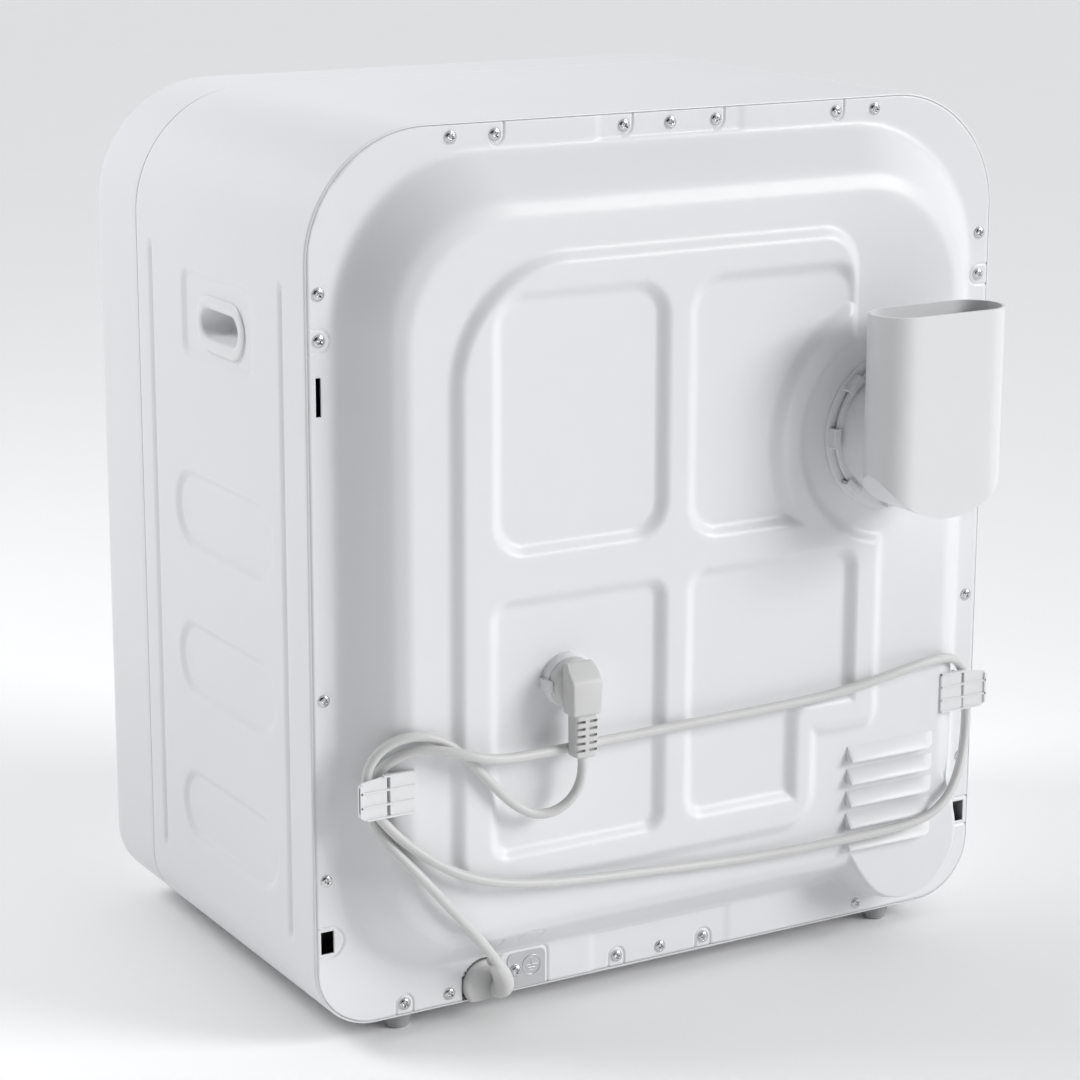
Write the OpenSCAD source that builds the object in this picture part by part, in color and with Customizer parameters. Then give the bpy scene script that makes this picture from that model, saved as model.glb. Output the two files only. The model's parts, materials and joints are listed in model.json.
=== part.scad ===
// Compact vented clothes dryer, standing on four feet.
// Millimetres. +Z is up, the door faces -Y and the pressed rear panel faces +Y.
// The origin is on the floor, under the middle of the machine.

/* [Cabinet] */
// Width of the cabinet
body_w = 600; // [596:1:604]
// Height of the cabinet without its feet
body_h = 665; // [660:1:670]
// Depth from the front face to the rear flange
body_d = 380; // [376:1:384]
// Outer radius of the two top corners
top_r = 95; // [85:1:100]
// Outer radius of the two bottom corners
low_r = 50; // [45:1:55]
// Depth of the front shell
front_d = 85; // [80:1:90]
// Sheet thickness of the wrap
sheet = 1.5; // [1.2:0.1:1.8]
// Height of the feet
foot_h = 15; // [12:1:18]

/* [Rear panel] */
// How far the dome stands out of the flange
dome_h = 38; // [34:1:42]
// Height of the raised field on the dome
field_h = 6; // [4:0.5:8]
// Width of the flange beside the dome
flange_w = 22; // [21:1:24]
// Run of the dome's slope
dome_run = 33; // [30:1:36]

/* [Exhaust] */
// Sideways place of the exhaust axis
exhaust_x = -180; // [-184:1:-176]
// Height of the exhaust axis
exhaust_z = 427; // [424:1:430]
// Outer radius of the deflector's round socket
socket_r = 51; // [49:1:52]
// Width of the deflector
elbow_w = 116; // [110:1:118]
// Thickness of the deflector
elbow_t = 48; // [44:1:50]
// Height of the deflector's mouth above the axis
elbow_reach = 102; // [95:1:108]

/* [Drum] */
// Outer radius of the drum
drum_r = 250; // [246:1:251]
// Height of the drum axis
drum_z = 385; // [382:1:388]
// Radius of the loading opening
mouth_r = 160; // [156:1:162]
// Height of the door's centre
door_z = 350; // [348:1:352]
// Outer radius of the door
door_r = 205; // [202:1:206]

/* [Drive] */
// Sideways place of the motor shaft
motor_x = 190; // [186:1:194]
// Height of the motor shaft
motor_z = 110; // [106:1:114]
// Radius of the drum pulley on the motor
pinion_r = 9; // [8:0.5:10]
// Radius of the fan pulley on the motor
fan_drive_r = 25; // [22:1:27]
// Radius of the pulley on the fan wheel
fan_pulley_r = 45; // [40:1:48]

/* [Cord] */
// Diameter of the mains cord
cord_d = 7.5; // [7:0.1:8]

/* [Hidden] */
$fn = 64;

// Places along Y: the rear flange, the front face, the seam and the level of each pressed step.
rear_y = 150;
front_y = rear_y - body_d;
seam_y = front_y + front_d;
dome_y = rear_y + dome_h;
field_y = dome_y + field_h;
panel_t = 1.2;
floor_z = foot_h;
roof_z = foot_h + body_h;
half_w = body_w / 2;
panel_gap = 0.2;
run_gap = 0.05;
gap = 0.4;
white = [0.93, 0.935, 0.945];
grey = [0.62, 0.63, 0.65];
dark = [0.22, 0.22, 0.24];
steel = [0.75, 0.76, 0.78];

// The dome on the rear panel: foot outline, then the outline of its flat top.
dome_low_z = floor_z + 35;
dome_high_z = roof_z - flange_w;
dome_foot_r = 115;
dome_foot_low_r = 88;

// Controls, all on one line of the fascia.
control_z = 628;
knob_x = 165;
button_x = 85;
lens_xs = [20, -10];
fascia_t = 3;
face_t = 3;
door_y = front_y - 4;
hinge_x = 222;
hinge_y = front_y - 12;
pin_r = 3;
shaft_r = 8;
axle_r = 6;
motor_shaft_r = 5;
baffle_turn = 120;
catch_x = -184;
switch_x = -173;
switch_z = 287;

// Rear flange screws as [x, z].
screw_top_z = roof_z - 11;
screw_low_z = floor_z + 10;
slot_x = 289;
slot_z = 86;
screws = concat(
    [for (x = [-184, -148, -40, 0, 40, 148, 184]) [x, screw_top_z]],
    [for (s = [-1, 1], z = [566, 533, 271, 134]) [s * (half_w - 11), z]],
    [for (x = [-188, -40, 0, 40, 188, 226]) [x, screw_low_z]]);

// Route of the mains cord, from the strain relief of its gland to the plug.
route = [
    [151, 164, 40], [174, 189, 70], [206, 198, 106], [239, 196, 146], [263, 179, 174], [269, 167, 202],
    [259, 184, 230], [234, 195, 240], [206, 208, 234], [182, 209, 225], [142, 200, 221], [20, 199, 223],
    [-110, 198, 223], [-165, 201, 231], [-221, 200, 241], [-257, 185.5, 233], [-275, 173, 202],
    [-275, 174, 172], [-259, 190, 137], [-227, 204, 108], [-170, 201.5, 105], [-60, 193, 101], [40, 195, 110],
    [130, 200, 118], [190, 201, 130], [228, 197, 152], [259, 184, 180], [275, 180, 210], [269, 184, 238],
    [243, 193, 252], [213, 194, 242], [190, 201, 217], [166, 200, 189], [144, 202, 173], [120, 205, 177],
    [107, 208, 196], [108, 209, 217]];
cord_sides = 10;

// The cord is the smooth curve that the route's points steer, a uniform cubic B-spline.
function unit(v) = v / norm(v);
last = len(route) - 1;
function steer(i) = i < 0 ? 2 * route[0] - route[1] : i > last ? 2 * route[last] - route[last - 1] : route[i];
function along(i, t) = (pow(1 - t, 3) * steer(i - 1) + (3 * pow(t, 3) - 6 * t * t + 4) * steer(i)
    + (1 + 3 * t + 3 * t * t - 3 * pow(t, 3)) * steer(i + 1) + pow(t, 3) * steer(i + 2)) / 6;
cord_path = concat([for (i = [0:last - 1], t = [0, 0.5]) along(i, t)], [route[last]]);
function direction(i) = let (n = len(cord_path) - 1)
    unit(cord_path[min(i + 1, n)] - cord_path[max(i - 1, 0)]);
function carried(v, d) = unit(v - d * (v * d));
function side_of(i, before) = i == 0 ? carried([0, 0, 1], direction(0)) : carried(before, direction(i));
function sides_from(i, before) = let (s = side_of(i, before))
    i == len(cord_path) - 1 ? [s] : concat([s], sides_from(i + 1, s));

// ---- building blocks ----

// Extrudes a shape drawn in X and Z from y0 to y1.
module slab(y0, y1) translate([0, y1, 0]) rotate([90, 0, 0]) linear_extrude(y1 - y0) children();

// Turns a profile of radius and Y about an axis along Y.
module turned(x, z) translate([x, 0, z]) rotate([-90, 0, 0]) rotate_extrude() children();

module rod(x, z, r, y0, y1) translate([x, y1, z]) rotate([90, 0, 0]) cylinder(r = r, h = y1 - y0);

module ring(x, z, r_in, r_out, y0, y1)
    turned(x, z) translate([r_in, y0]) square([r_out - r_in, y1 - y0]);

module block(x0, x1, y0, y1, z0, z1)
    translate([x0, y0, z0]) cube([x1 - x0, y1 - y0, z1 - z0]);

module round_rect(x0, x1, z0, z1, r) {
    translate([x0 + r, z0]) square([x1 - x0 - 2 * r, z1 - z0]);
    translate([x0, z0 + r]) square([x1 - x0, z1 - z0 - 2 * r]);
    for (x = [x0 + r, x1 - r], z = [z0 + r, z1 - r]) translate([x, z]) circle(r);
}

// A rectangle about x = 0 whose top and bottom corners have their own radii.
module arch_rect(half, z0, z1, r_top, r_low) {
    translate([-half, z0 + r_low]) square([2 * half, z1 - r_top - z0 - r_low]);
    translate([-half + r_top, z1 - r_top]) square([2 * (half - r_top), r_top]);
    translate([-half + r_low, z0]) square([2 * (half - r_low), r_low]);
    for (s = [-1, 1]) {
        translate([s * (half - r_top), z1 - r_top]) circle(r_top);
        translate([s * (half - r_low), z0 + r_low]) circle(r_low);
    }
}

module body_shape(inset = 0)
    arch_rect(half_w - inset, floor_z + inset, roof_z - inset, top_r - inset, low_r - inset);

// ---- cabinet ----

grip_y = 5;
grip_z = 520;
grip_l = 83;
grip_h = 42;
grip_wall = 10;
grip_deep = 26;

// A stadium lying along Y on the side of the cabinet, from x0 to x1.
module side_stadium(x0, x1, l, h) {
    block(x0, x1, grip_y - l / 2 + h / 2, grip_y + l / 2 - h / 2, grip_z - h / 2, grip_z + h / 2);
    for (s = [-1, 1]) translate([x0, grip_y + s * (l - h) / 2, grip_z]) rotate([0, 90, 0])
        cylinder(d = h, h = x1 - x0);
}

module cabinet_wrap() color(white) difference() {
    union() {
        slab(seam_y, rear_y) difference() {
            body_shape();
            body_shape(sheet);
        }
        slab(rear_y - panel_t - sheet, rear_y - panel_t) difference() {
            body_shape(sheet);
            body_shape(flange_w - 2);
        }
    }
    for (p = screws) rod(p[0], p[1], 2.3, rear_y - 5, rear_y);
    side_stadium(-half_w - 1, -half_w + 5, grip_l + 2 * panel_gap, grip_h + 2 * panel_gap);
    side_stadium(half_w - 5, half_w + 1, grip_l + 2 * panel_gap, grip_h + 2 * panel_gap);
    for (s = [0, 1]) mirror([s, 0, 0])
        block(slot_x - 20, half_w - sheet, rear_y - 5, rear_y - panel_t, slot_z - 22, slot_z + 20);
}

module front_panel() color(white) difference() {
    hull() {
        slab(front_y + 14, seam_y) body_shape();
        slab(front_y + 4, front_y + 5) body_shape(4);
        slab(front_y, front_y + 1) body_shape(13);
    }
    hull() {
        slab(front_y + 15, seam_y + 1) body_shape(3);
        slab(front_y + face_t, front_y + face_t + 1) body_shape(14);
    }
    rod(0, door_z, mouth_r + 3 + panel_gap, front_y - 1, front_y + 5);
    rod(knob_x, control_z, 5, front_y - 1, front_y + 5);
    rod(button_x, control_z, 11.5, front_y - 1, front_y + 5);
    for (x = lens_xs) rod(x, control_z, 3.3, front_y - 1, front_y + 5);
    block(catch_x - 12, catch_x + 12, front_y - 1, front_y + 5, door_z - 14, door_z + 14);
    rod(switch_x, switch_z, 3, front_y - 1, front_y + 5);
}

module side_grip(s) color(white) mirror([s < 0 ? 1 : 0, 0, 0]) difference() {
    union() {
        side_stadium(half_w - grip_deep, half_w - sheet, grip_l, grip_h);
        side_stadium(half_w - 4, half_w - sheet - panel_gap, grip_l, grip_h);
        side_stadium(half_w - sheet, half_w, grip_l, grip_h);
    }
    side_stadium(half_w - grip_deep + 2.5, half_w + 1, grip_l - 2 * grip_wall, grip_h - 2 * grip_wall);
}

module side_grip_left() side_grip(1);
module side_grip_right() side_grip(-1);

module base_pan() color(grey) difference() {
    block(-246, 246, -140, 140, floor_z + sheet, floor_z + sheet + 1.5);
    for (x = [-150, -50, 50]) block(x, x + 40, -100, 60, floor_z, floor_z + 5);
}

foot_x = 222;
foot_ys = [rear_y - 21, front_y + 30];

module feet() color(grey) for (s = [-1, 1], y = foot_ys) translate([s * foot_x, y, 0]) {
    cylinder(r1 = 9, r2 = 12, h = foot_h - 2);
    translate([-22, -14, foot_h - 2]) cube([44, 28, 2]);
}

// ---- rear panel ----

// An outline of the dome, drawn in from its foot by run, and thinned by wall.
module dome_ring(run, y0, y1, wall) {
    inset = run + wall;
    slab(y0, y1) arch_rect(half_w - flange_w - inset, dome_low_z + inset * 0.9, dome_high_z - inset * 1.1,
        dome_foot_r - inset * 0.7, dome_foot_low_r - inset * 0.85, $fn = 48);
}

// The dome rises from its foot in a straight slope and turns over a softened shoulder.
module dome(wall) hull() {
    dome_ring(0, rear_y - panel_t - wall, rear_y - wall, wall);
    dome_ring(dome_run - 5, dome_y - 6 - wall, dome_y - 5.5 - wall, wall);
    dome_ring(dome_run + 7, dome_y - 1 - wall, dome_y - wall, wall);
}

module lobe_disc(x, z, r, y0, y1) slab(y0, y1) translate([x, z]) circle(r, $fn = 64);

// The lobe carries the louvred corner of the dome further down.
module lobe(wall) hull() {
    lobe_disc(-211, floor_z + 78, 65 - wall, rear_y - panel_t - wall, rear_y - wall);
    lobe_disc(-208, floor_z + 73, 48 - wall, dome_y - 1 - wall, dome_y - wall);
}

// The raised field: its left and right edges, its low and high edges, and the steps beside the exhaust.
field_x0 = -170;
field_x1 = 199;
field_z0 = floor_z + 105;
field_z1 = floor_z + 570;
step_x = -112;
step_z = 195;
recess_r = 85;
arc_gap = 23;

// The field stops at a round clearing about the exhaust and steps in beside the louvres.
module field_shape(inset) difference() {
    union() {
        translate([field_x0 + inset, step_z + inset]) square([150, 200]);
        translate([step_x + inset, field_z0 + 25]) square([150, 200]);
        translate([step_x + 25, field_z0 + inset]) square([field_x1 - 30 - step_x - 25, 200]);
        translate([step_x + 25, field_z0 + 25]) circle(25 - inset);
        translate([field_x1 - 30, field_z0 + 30]) circle(30 - inset);
        translate([0, field_z0 + 30]) square([field_x1 - inset, field_z1 - 90 - field_z0 - 30]);
        translate([field_x1 - 90, field_z1 - 90]) circle(90 - inset);
        translate([-111, 300]) square([field_x1 - 90 + 111, field_z1 - inset - 300]);
        translate([-141 + inset, 330]) square([100, field_z1 - 30 - 330]);
        translate([-111, field_z1 - 30]) circle(30 - inset);
    }
    translate([exhaust_x, exhaust_z]) circle(recess_r + inset);
}

// Four pockets pressed back to the level of the dome.
module pocket_shapes(grow) {
    round_rect(30 - grow, 170 + grow, floor_z + 358 - grow, floor_z + 544 + grow, 24);
    round_rect(30 - grow, 172 + grow, floor_z + 129 - grow, floor_z + 320 + grow, 12);
    difference() {
        round_rect(-142 - grow, 4 + grow, floor_z + 352 - grow, floor_z + 544 + grow, 24);
        translate([exhaust_x, exhaust_z]) circle(recess_r + arc_gap - grow);
    }
    difference() {
        round_rect(-144 - grow, 4 + grow, floor_z + 132 - grow, floor_z + 322 + grow, 12);
        translate([-170, floor_z + 110]) square([79 - grow, 94 - grow]);
    }
}

louvre_zs = [for (i = [0:4]) floor_z + 75.2 + 18.3 * i];
gland_x = 158;
gland_z = floor_z + 13;
plug_x = 110;
plug_z = 271;
pin_pitch = 19;
plug_y = dome_y + 8;

hood_deep = 8;

// A louvre hangs from its top edge and is open below.
module louvre_hood(z) translate([-227, 0, 0]) rotate([90, 0, 90]) linear_extrude(80)
    polygon([[dome_y - panel_t, z + 11], [dome_y, z + 11], [dome_y + hood_deep, z + 2],
        [dome_y + hood_deep, z + 0.5], [dome_y + hood_deep - panel_t, z + 0.5], [dome_y - panel_t, z + 9.2]]);

module rear_panel() color(white) difference() {
    union() {
        difference() {
            union() {
                slab(rear_y - panel_t, rear_y) body_shape(sheet + panel_gap);
                dome(0);
                lobe(0);
                slab(dome_y - panel_t, field_y) difference() {
                    field_shape(0);
                    pocket_shapes(0);
                }
            }
            dome(panel_t);
            lobe(panel_t);
            slab(dome_y - 2 * panel_t, field_y - panel_t) difference() {
                field_shape(panel_t);
                pocket_shapes(panel_t);
            }
            for (z = louvre_zs) block(-227, -147, dome_y - 5, dome_y + 1, z + 1, z + 9);
        }
        for (z = louvre_zs) louvre_hood(z);
    }
    rod(exhaust_x, exhaust_z, socket_r + 1, rear_y, field_y + 1);
    for (p = screws) rod(p[0], p[1], 2.3, rear_y - 5, rear_y + 1);
    for (s = [-1, 1]) block(s * slot_x - 5, s * slot_x + 5, rear_y - 5, rear_y + 1, slot_z - 9, slot_z + 9);
    slab(rear_y - 5, rear_y + 1) translate([gland_x, gland_z]) circle(19);
    block(gland_x - 19, gland_x + 19, rear_y - 5, rear_y + 1, floor_z, gland_z);
    for (z = [-1, 1]) rod(plug_x, plug_z + z * pin_pitch / 2, 3.2, dome_y - 3, dome_y + 1);
}

module rear_screws() color(steel) for (p = screws) {
    turned(p[0], p[1]) polygon([[0, rear_y], [4.6, rear_y], [4.6, rear_y + 0.6], [3.8, rear_y + 2.2],
        [0, rear_y + 3]]);
    rod(p[0], p[1], 2, rear_y - 9, rear_y);
}

// ---- fittings on the rear ----

// A ribbed plate that overhangs the dome's slope, so the cord winds behind it.
module cord_hook(s) color(white) mirror([s < 0 ? 1 : 0, 0, 0]) difference() {
    translate([0, 0, 189]) linear_extrude(33) polygon([[236, dome_y], [236, dome_y + 2.5],
        [281, dome_y + 2.5], [281, dome_y + 0.2], [255, dome_y + 0.2], [255, dome_y - 11.3],
        [250, dome_y - 5.5], [238, dome_y]]);
    for (z = [194.5, 205.5, 216.5], x = [247, 263.5])
        block(x, x + 14, dome_y + 1.5, dome_y + 3, z - 4, z + 4);
}

module cord_hook_left() cord_hook(1);
module cord_hook_right() cord_hook(-1);

module plug_holder() color(white) difference() {
    union() {
        rod(plug_x, plug_z, 20.5, dome_y, plug_y);
        for (s = [-1, 1]) block(plug_x + s * 21 - 1.5, plug_x + s * 21 + 1.5, dome_y, plug_y + 6,
            plug_z - 4, plug_z + 4);
    }
    for (z = [-1, 1]) rod(plug_x, plug_z + z * pin_pitch / 2, 2.4 + run_gap, dome_y - 1, plug_y + 1);
}

relief_x = route[last][0];

// Angled safety plug: round face, two pins, square body and a slotted relief round the cord.
module mains_plug() color([0.86, 0.855, 0.84]) {
    difference() {
        union() {
            turned(plug_x, plug_z) polygon([[0, plug_y], [19, plug_y], [19, plug_y + 6], [17.5, plug_y + 9],
                [0, plug_y + 9]]);
            translate([plug_x - 13, 0, 0]) rotate([90, 0, 90]) linear_extrude(26)
                polygon([[plug_y + 8, 251], [plug_y + 24, 251], [plug_y + 24, 277], [plug_y + 9, 286],
                    [plug_y + 8, 286]]);
            block(relief_x - 9.5, relief_x + 9.5, 202, 216, 217, 252);
        }
        for (z = [222:5.5:246], s = [-1, 1])
            block(relief_x + s * 6 - 3, relief_x + s * 6 + 3, 214.5, 217, z, z + 2.2);
    }
    for (z = [-1, 1]) rod(plug_x, plug_z + z * pin_pitch / 2, 2.4, plug_y - 19, plug_y);
}

boot_l = 24;
boot_d = direction(0);

// A cap in the arch of the rear panel, with a tapered boot along the first stretch of cord.
module cord_gland() color([0.88, 0.875, 0.86]) {
    slab(rear_y - panel_t, rear_y + 4) difference() {
        union() {
            translate([gland_x, gland_z]) circle(18.6);
            translate([gland_x - 18.6, gland_z - 10]) square([37.2, 10]);
        }
        translate([gland_x - 20, floor_z - 20]) square([40, 20 + sheet + panel_gap]);
    }
    difference() {
        translate(route[0] - boot_l * boot_d) rotate([0, acos(boot_d[2]), atan2(boot_d[1], boot_d[0])])
            cylinder(r1 = 8.5, r2 = 5.5, h = boot_l);
        block(gland_x - 50, gland_x + 50, rear_y - 20, rear_y + 1.2, floor_z, floor_z + 80);
    }
}

module earth_plate() color(grey) difference() {
    slab(rear_y, rear_y + 1) round_rect(105, 138, floor_z + 2.5, floor_z + 31, 4);
    rod(131, floor_z + 17, 2.3, rear_y - 1, rear_y + 2);
}

module exhaust_collar() color(white) {
    ring(exhaust_x, exhaust_z, 45, 62, dome_y, dome_y + 3);
    ring(exhaust_x, exhaust_z, 45, socket_r - 3.5, dome_y + 3, dome_y + 16);
    for (a = [0:45:315]) translate([exhaust_x, 0, exhaust_z]) rotate([0, a, 0]) {
        block(socket_r + 5.2, socket_r + 8, dome_y + 2.5, dome_y + 9, -5, 5);
        block(socket_r + 2.4, socket_r + 8, dome_y + 7, dome_y + 9, -5, 5);
    }
}

elbow_y0 = dome_y + 28;
elbow_y1 = elbow_y0 + elbow_t;
elbow_wall = 2.2;
elbow_arc_r = 66;
elbow_arc_z = exhaust_z + 12;

// The deflector's outline from behind: round at its lower end and wider than the slot above it.
module elbow_front(inset) {
    translate([exhaust_x, elbow_arc_z]) circle(elbow_arc_r - inset);
    translate([exhaust_x - 80, elbow_arc_z]) square([160, 120]);
}

// The same body from above: a slot with half-round ends.
module elbow_plan(inset) {
    r = elbow_t / 2 - inset;
    half = elbow_w / 2 - elbow_t / 2;
    translate([exhaust_x - half, elbow_y0 + inset]) square([2 * half, 2 * r]);
    for (s = [-1, 1]) translate([exhaust_x + s * half, elbow_y0 + elbow_t / 2]) circle(r);
}

module elbow_body(inset, top) intersection() {
    slab(elbow_y0 - 1, elbow_y1 + 1) elbow_front(inset);
    translate([0, 0, elbow_arc_z - elbow_arc_r - 1])
        linear_extrude(top - elbow_arc_z + elbow_arc_r + 1) elbow_plan(inset);
}

module exhaust_elbow() color(white) difference() {
    union() {
        elbow_body(0, exhaust_z + elbow_reach);
        rod(exhaust_x, exhaust_z, socket_r, dome_y + 3.4, elbow_y0 + 14);
        rod(exhaust_x, exhaust_z, socket_r + 4.5, dome_y + 3.4, dome_y + 6.6);
    }
    elbow_body(elbow_wall, exhaust_z + elbow_reach + 1);
    rod(exhaust_x, exhaust_z, socket_r - 3, dome_y, elbow_y0 + elbow_t / 2);
}

module exhaust_duct() color(grey) ring(exhaust_x, exhaust_z, 45.5, 48, fan_back_y, dome_y);

// ---- controls ----

module control_fascia() color(grey) difference() {
    slab(front_y - fascia_t, front_y) round_rect(-235, 235, control_z - 30, control_z + 30, 12);
    rod(knob_x, control_z, 5, front_y - 5, front_y + 1);
    rod(button_x, control_z, 11.5, front_y - 5, front_y + 1);
    for (x = lens_xs) rod(x, control_z, 3.3, front_y - 5, front_y + 1);
}

knob_back = front_y - fascia_t - 0.5;

module timer_knob() color(white) {
    turned(knob_x, control_z) polygon([[0, knob_back - 22], [20, knob_back - 22], [24, knob_back - 19],
        [26, knob_back - 3], [28, knob_back], [0, knob_back]]);
    block(knob_x - 1.5, knob_x + 1.5, knob_back - 23, knob_back - 21.9, control_z + 4, control_z + 20);
    rod(knob_x, control_z, 3, knob_back, front_y + 20);
}

module timer_switch() color(dark) difference() {
    block(knob_x - 30, knob_x + 30, front_y + face_t, front_y + 45, control_z - 28, control_z + 28);
    rod(knob_x, control_z, 3 + run_gap, front_y, front_y + 21);
}

module start_button() color(white) {
    rod(button_x, control_z, 11, front_y - 7, front_y + 4.6);
    rod(button_x, control_z, 13, front_y + face_t + gap, front_y + 4.8);
    rod(button_x, control_z, 4, front_y + 4, front_y + 11);
}

module start_switch() color(dark) block(button_x - 12, button_x + 12, front_y + 15, front_y + 40,
    control_z - 10, control_z + 10);

module indicator_lenses() color("orange") for (x = lens_xs)
    rod(x, control_z, 3, front_y - fascia_t - 0.6, front_y + face_t);

// ---- door ----

module door_ring_body() turned(0, door_z) polygon([[148, door_y], [door_r - 1, door_y],
    [door_r, door_y - 12], [door_r - 8, door_y - 22], [door_r - 28, door_y - 27], [157, door_y - 26],
    [148, door_y - 20]]);

module door_ring() color(white) door_ring_body();

module door_window() color([0.35, 0.37, 0.4, 0.6]) turned(0, door_z) polygon([[0, door_y - 26],
    [60, door_y - 25], [115, door_y - 22], [147.7, door_y - 17], [147.7, door_y - 13], [115, door_y - 18],
    [60, door_y - 21], [0, door_y - 22]]);

module door_liner() color(grey) turned(0, door_z) polygon([[112, door_y - 12.5], [147.7, door_y - 12.5],
    [147.7, door_y], [152, door_y], [152, door_y + 8], [142, door_y + 34], [136, door_y + 38],
    [128, door_y + 38], [128, door_y + 34], [139, door_y + 6], [139, door_y - 9], [112, door_y - 9]]);

// A bail handle: a bar on two posts that end on the door ring.
module door_handle() color(white) difference() {
    union() {
        block(-222, -209, door_y - 30, door_y - 18, door_z - 50, door_z + 50);
        for (s = [-1, 1])
            block(-222, -194, door_y - 19, door_y - 6, door_z + s * 44 - 6, door_z + s * 44 + 6);
    }
    door_ring_body();
    rod(0, door_z, 196, door_y - 40, door_y);
}

module hinge_leaf() color(steel) difference() {
    union() {
        block(178, 214, door_y, door_y + 1.8, door_z - 16, door_z + 16);
        block(207, hinge_x, hinge_y, door_y + 1.8, door_z - 16, door_z + 16);
        translate([hinge_x, hinge_y, door_z - 16]) cylinder(r = 5.5, h = 32);
    }
    translate([hinge_x, hinge_y, door_z - 20]) cylinder(r = pin_r + run_gap, h = 40);
}

module hinge_bracket() color(steel) difference() {
    union() {
        block(226, 252, front_y - 3, front_y, door_z - 55, door_z + 55);
        for (z = [-30, 17]) {
            translate([hinge_x, hinge_y, door_z + z]) cylinder(r = 5.5, h = 13);
            block(hinge_x, hinge_x + 10, hinge_y, front_y, door_z + z, door_z + z + 13);
        }
    }
    translate([hinge_x, hinge_y, door_z - 60]) cylinder(r = pin_r + run_gap, h = 120);
}

module hinge_pin() color(steel) translate([hinge_x, hinge_y, door_z - 32]) {
    cylinder(r = pin_r, h = 64);
    translate([0, 0, 62]) cylinder(r = 4.5, h = 2);
}

module door_latch() color(grey) {
    block(-190, -178, door_y, door_y + 21, door_z - 8, door_z + 8);
    block(-191, -190, door_y + 15, door_y + 20, door_z - 8, door_z + 8);
}

module door_catch() color(dark) difference() {
    block(catch_x - 18, catch_x + 18, front_y + face_t, front_y + 28, door_z - 18, door_z + 18);
    block(catch_x - 12, catch_x + 12, front_y, front_y + 25, door_z - 14, door_z + 14);
}

module door_switch() color(dark) difference() {
    block(switch_x - 15, switch_x + 9, front_y + 8, front_y + 30, switch_z - 12, switch_z + 12);
    rod(switch_x, switch_z, 2.5 + gap, front_y, front_y + 24);
}

module door_switch_plunger() color(white)
    rod(switch_x, switch_z, 2.5, front_y - 3.6, front_y + 20);

module door_seal() color(grey) turned(0, door_z) polygon([[164, front_y], [174, front_y],
    [172, front_y - 3.2], [169, front_y - 3.6], [166, front_y - 3.2]]);

module door_throat() color(white) {
    ring(0, door_z, mouth_r, mouth_r + 3, front_y, seam_y - 1.5);
    ring(0, door_z, mouth_r + 3, mouth_r + 15, seam_y - 4, seam_y - 1.5);
}

// ---- drum and its supports ----

neck_r = 221;
drum_front_y = -125;
drum_rear_y = 92;

module front_bulkhead() color(steel) {
    slab(seam_y - 1.5, seam_y) difference() {
        body_shape(4);
        translate([0, door_z]) circle(mouth_r);
        for (s = [-1, 1]) translate([s * 235, 70]) circle(20);
    }
    ring(0, drum_z, neck_r - 7, neck_r - 4, seam_y, seam_y + 17);
}

module drum_felt() color([0.8, 0.78, 0.72])
    ring(0, drum_z, neck_r - 4, neck_r - 0.3, seam_y + 2, seam_y + 17);

module drum_shell() color(steel) turned(0, drum_z) polygon([[neck_r, seam_y + 2], [neck_r + 1.2, seam_y + 2],
    [neck_r + 1.2, drum_front_y - 1.2], [drum_r, drum_front_y - 1.2], [drum_r, drum_rear_y],
    [drum_r - 1.2, drum_rear_y], [drum_r - 1.2, drum_front_y], [neck_r, drum_front_y]]);

filter_r = 72;

module drum_back() color(steel) difference() {
    rod(0, drum_z, drum_r - 1.2, drum_rear_y - 1.5, drum_rear_y);
    rod(0, drum_z, filter_r, 0, drum_rear_y + 1);
    for (a = [0:30:330]) rod(125 * sin(a), drum_z + 125 * cos(a), 10, 80, 100);
    for (a = [0:20:340]) rod(190 * sin(a), drum_z + 190 * cos(a), 10, 80, 100);
}

// A lifter bar on the drum's inner wall; the first one is at the top.
module drum_baffle(i) color(white) translate([0, 0, drum_z]) rotate([0, baffle_turn * i, 0]) difference() {
    translate([0, 80, 0]) rotate([90, 0, 0]) linear_extrude(190)
        polygon([[-26, 242], [-10, 206], [10, 206], [26, 242], [22, 247.8], [-22, 247.8]]);
    translate([0, 75, 0]) rotate([90, 0, 0]) linear_extrude(180)
        polygon([[-21, 240], [-7, 210], [7, 210], [21, 240]]);
}

module drum_baffle_1() drum_baffle(0);
module drum_baffle_2() drum_baffle(1);
module drum_baffle_3() drum_baffle(2);

module drum_shaft() color(steel) {
    for (a = [0, 120, 240]) translate([0, drum_rear_y, drum_z]) rotate([0, a, 0])
        block(-9, 9, 0, 4, 12, 236);
    rod(0, drum_z, 22, drum_rear_y, drum_rear_y + 6);
    rod(0, drum_z, shaft_r, drum_rear_y + 6, 120);
}

bearing_y0 = 104;
bearing_y1 = 126;
bulkhead_y = 114;
fan_front_y = bulkhead_y + 2;
fan_back_y = 166;

module rear_bearing() color(dark) difference() {
    rod(0, drum_z, 24, bearing_y0, bearing_y1);
    rod(0, drum_z, shaft_r + run_gap, bearing_y0 - 1, bearing_y1 - 4);
}

module rear_bulkhead() color(steel) difference() {
    slab(bulkhead_y, fan_front_y) difference() {
        body_shape(4);
        translate([0, drum_z]) difference() {
            circle(filter_r);
            for (a = [30, 150, 270]) rotate(a) translate([0, -12]) square([filter_r + 2, 24]);
        }
        for (x = [-215, -175]) translate([x, 105]) square([32, 60]);
        translate([motor_x, motor_z]) circle(12);
    }
    rod(0, drum_z, 24, 100, 130);
}

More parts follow.
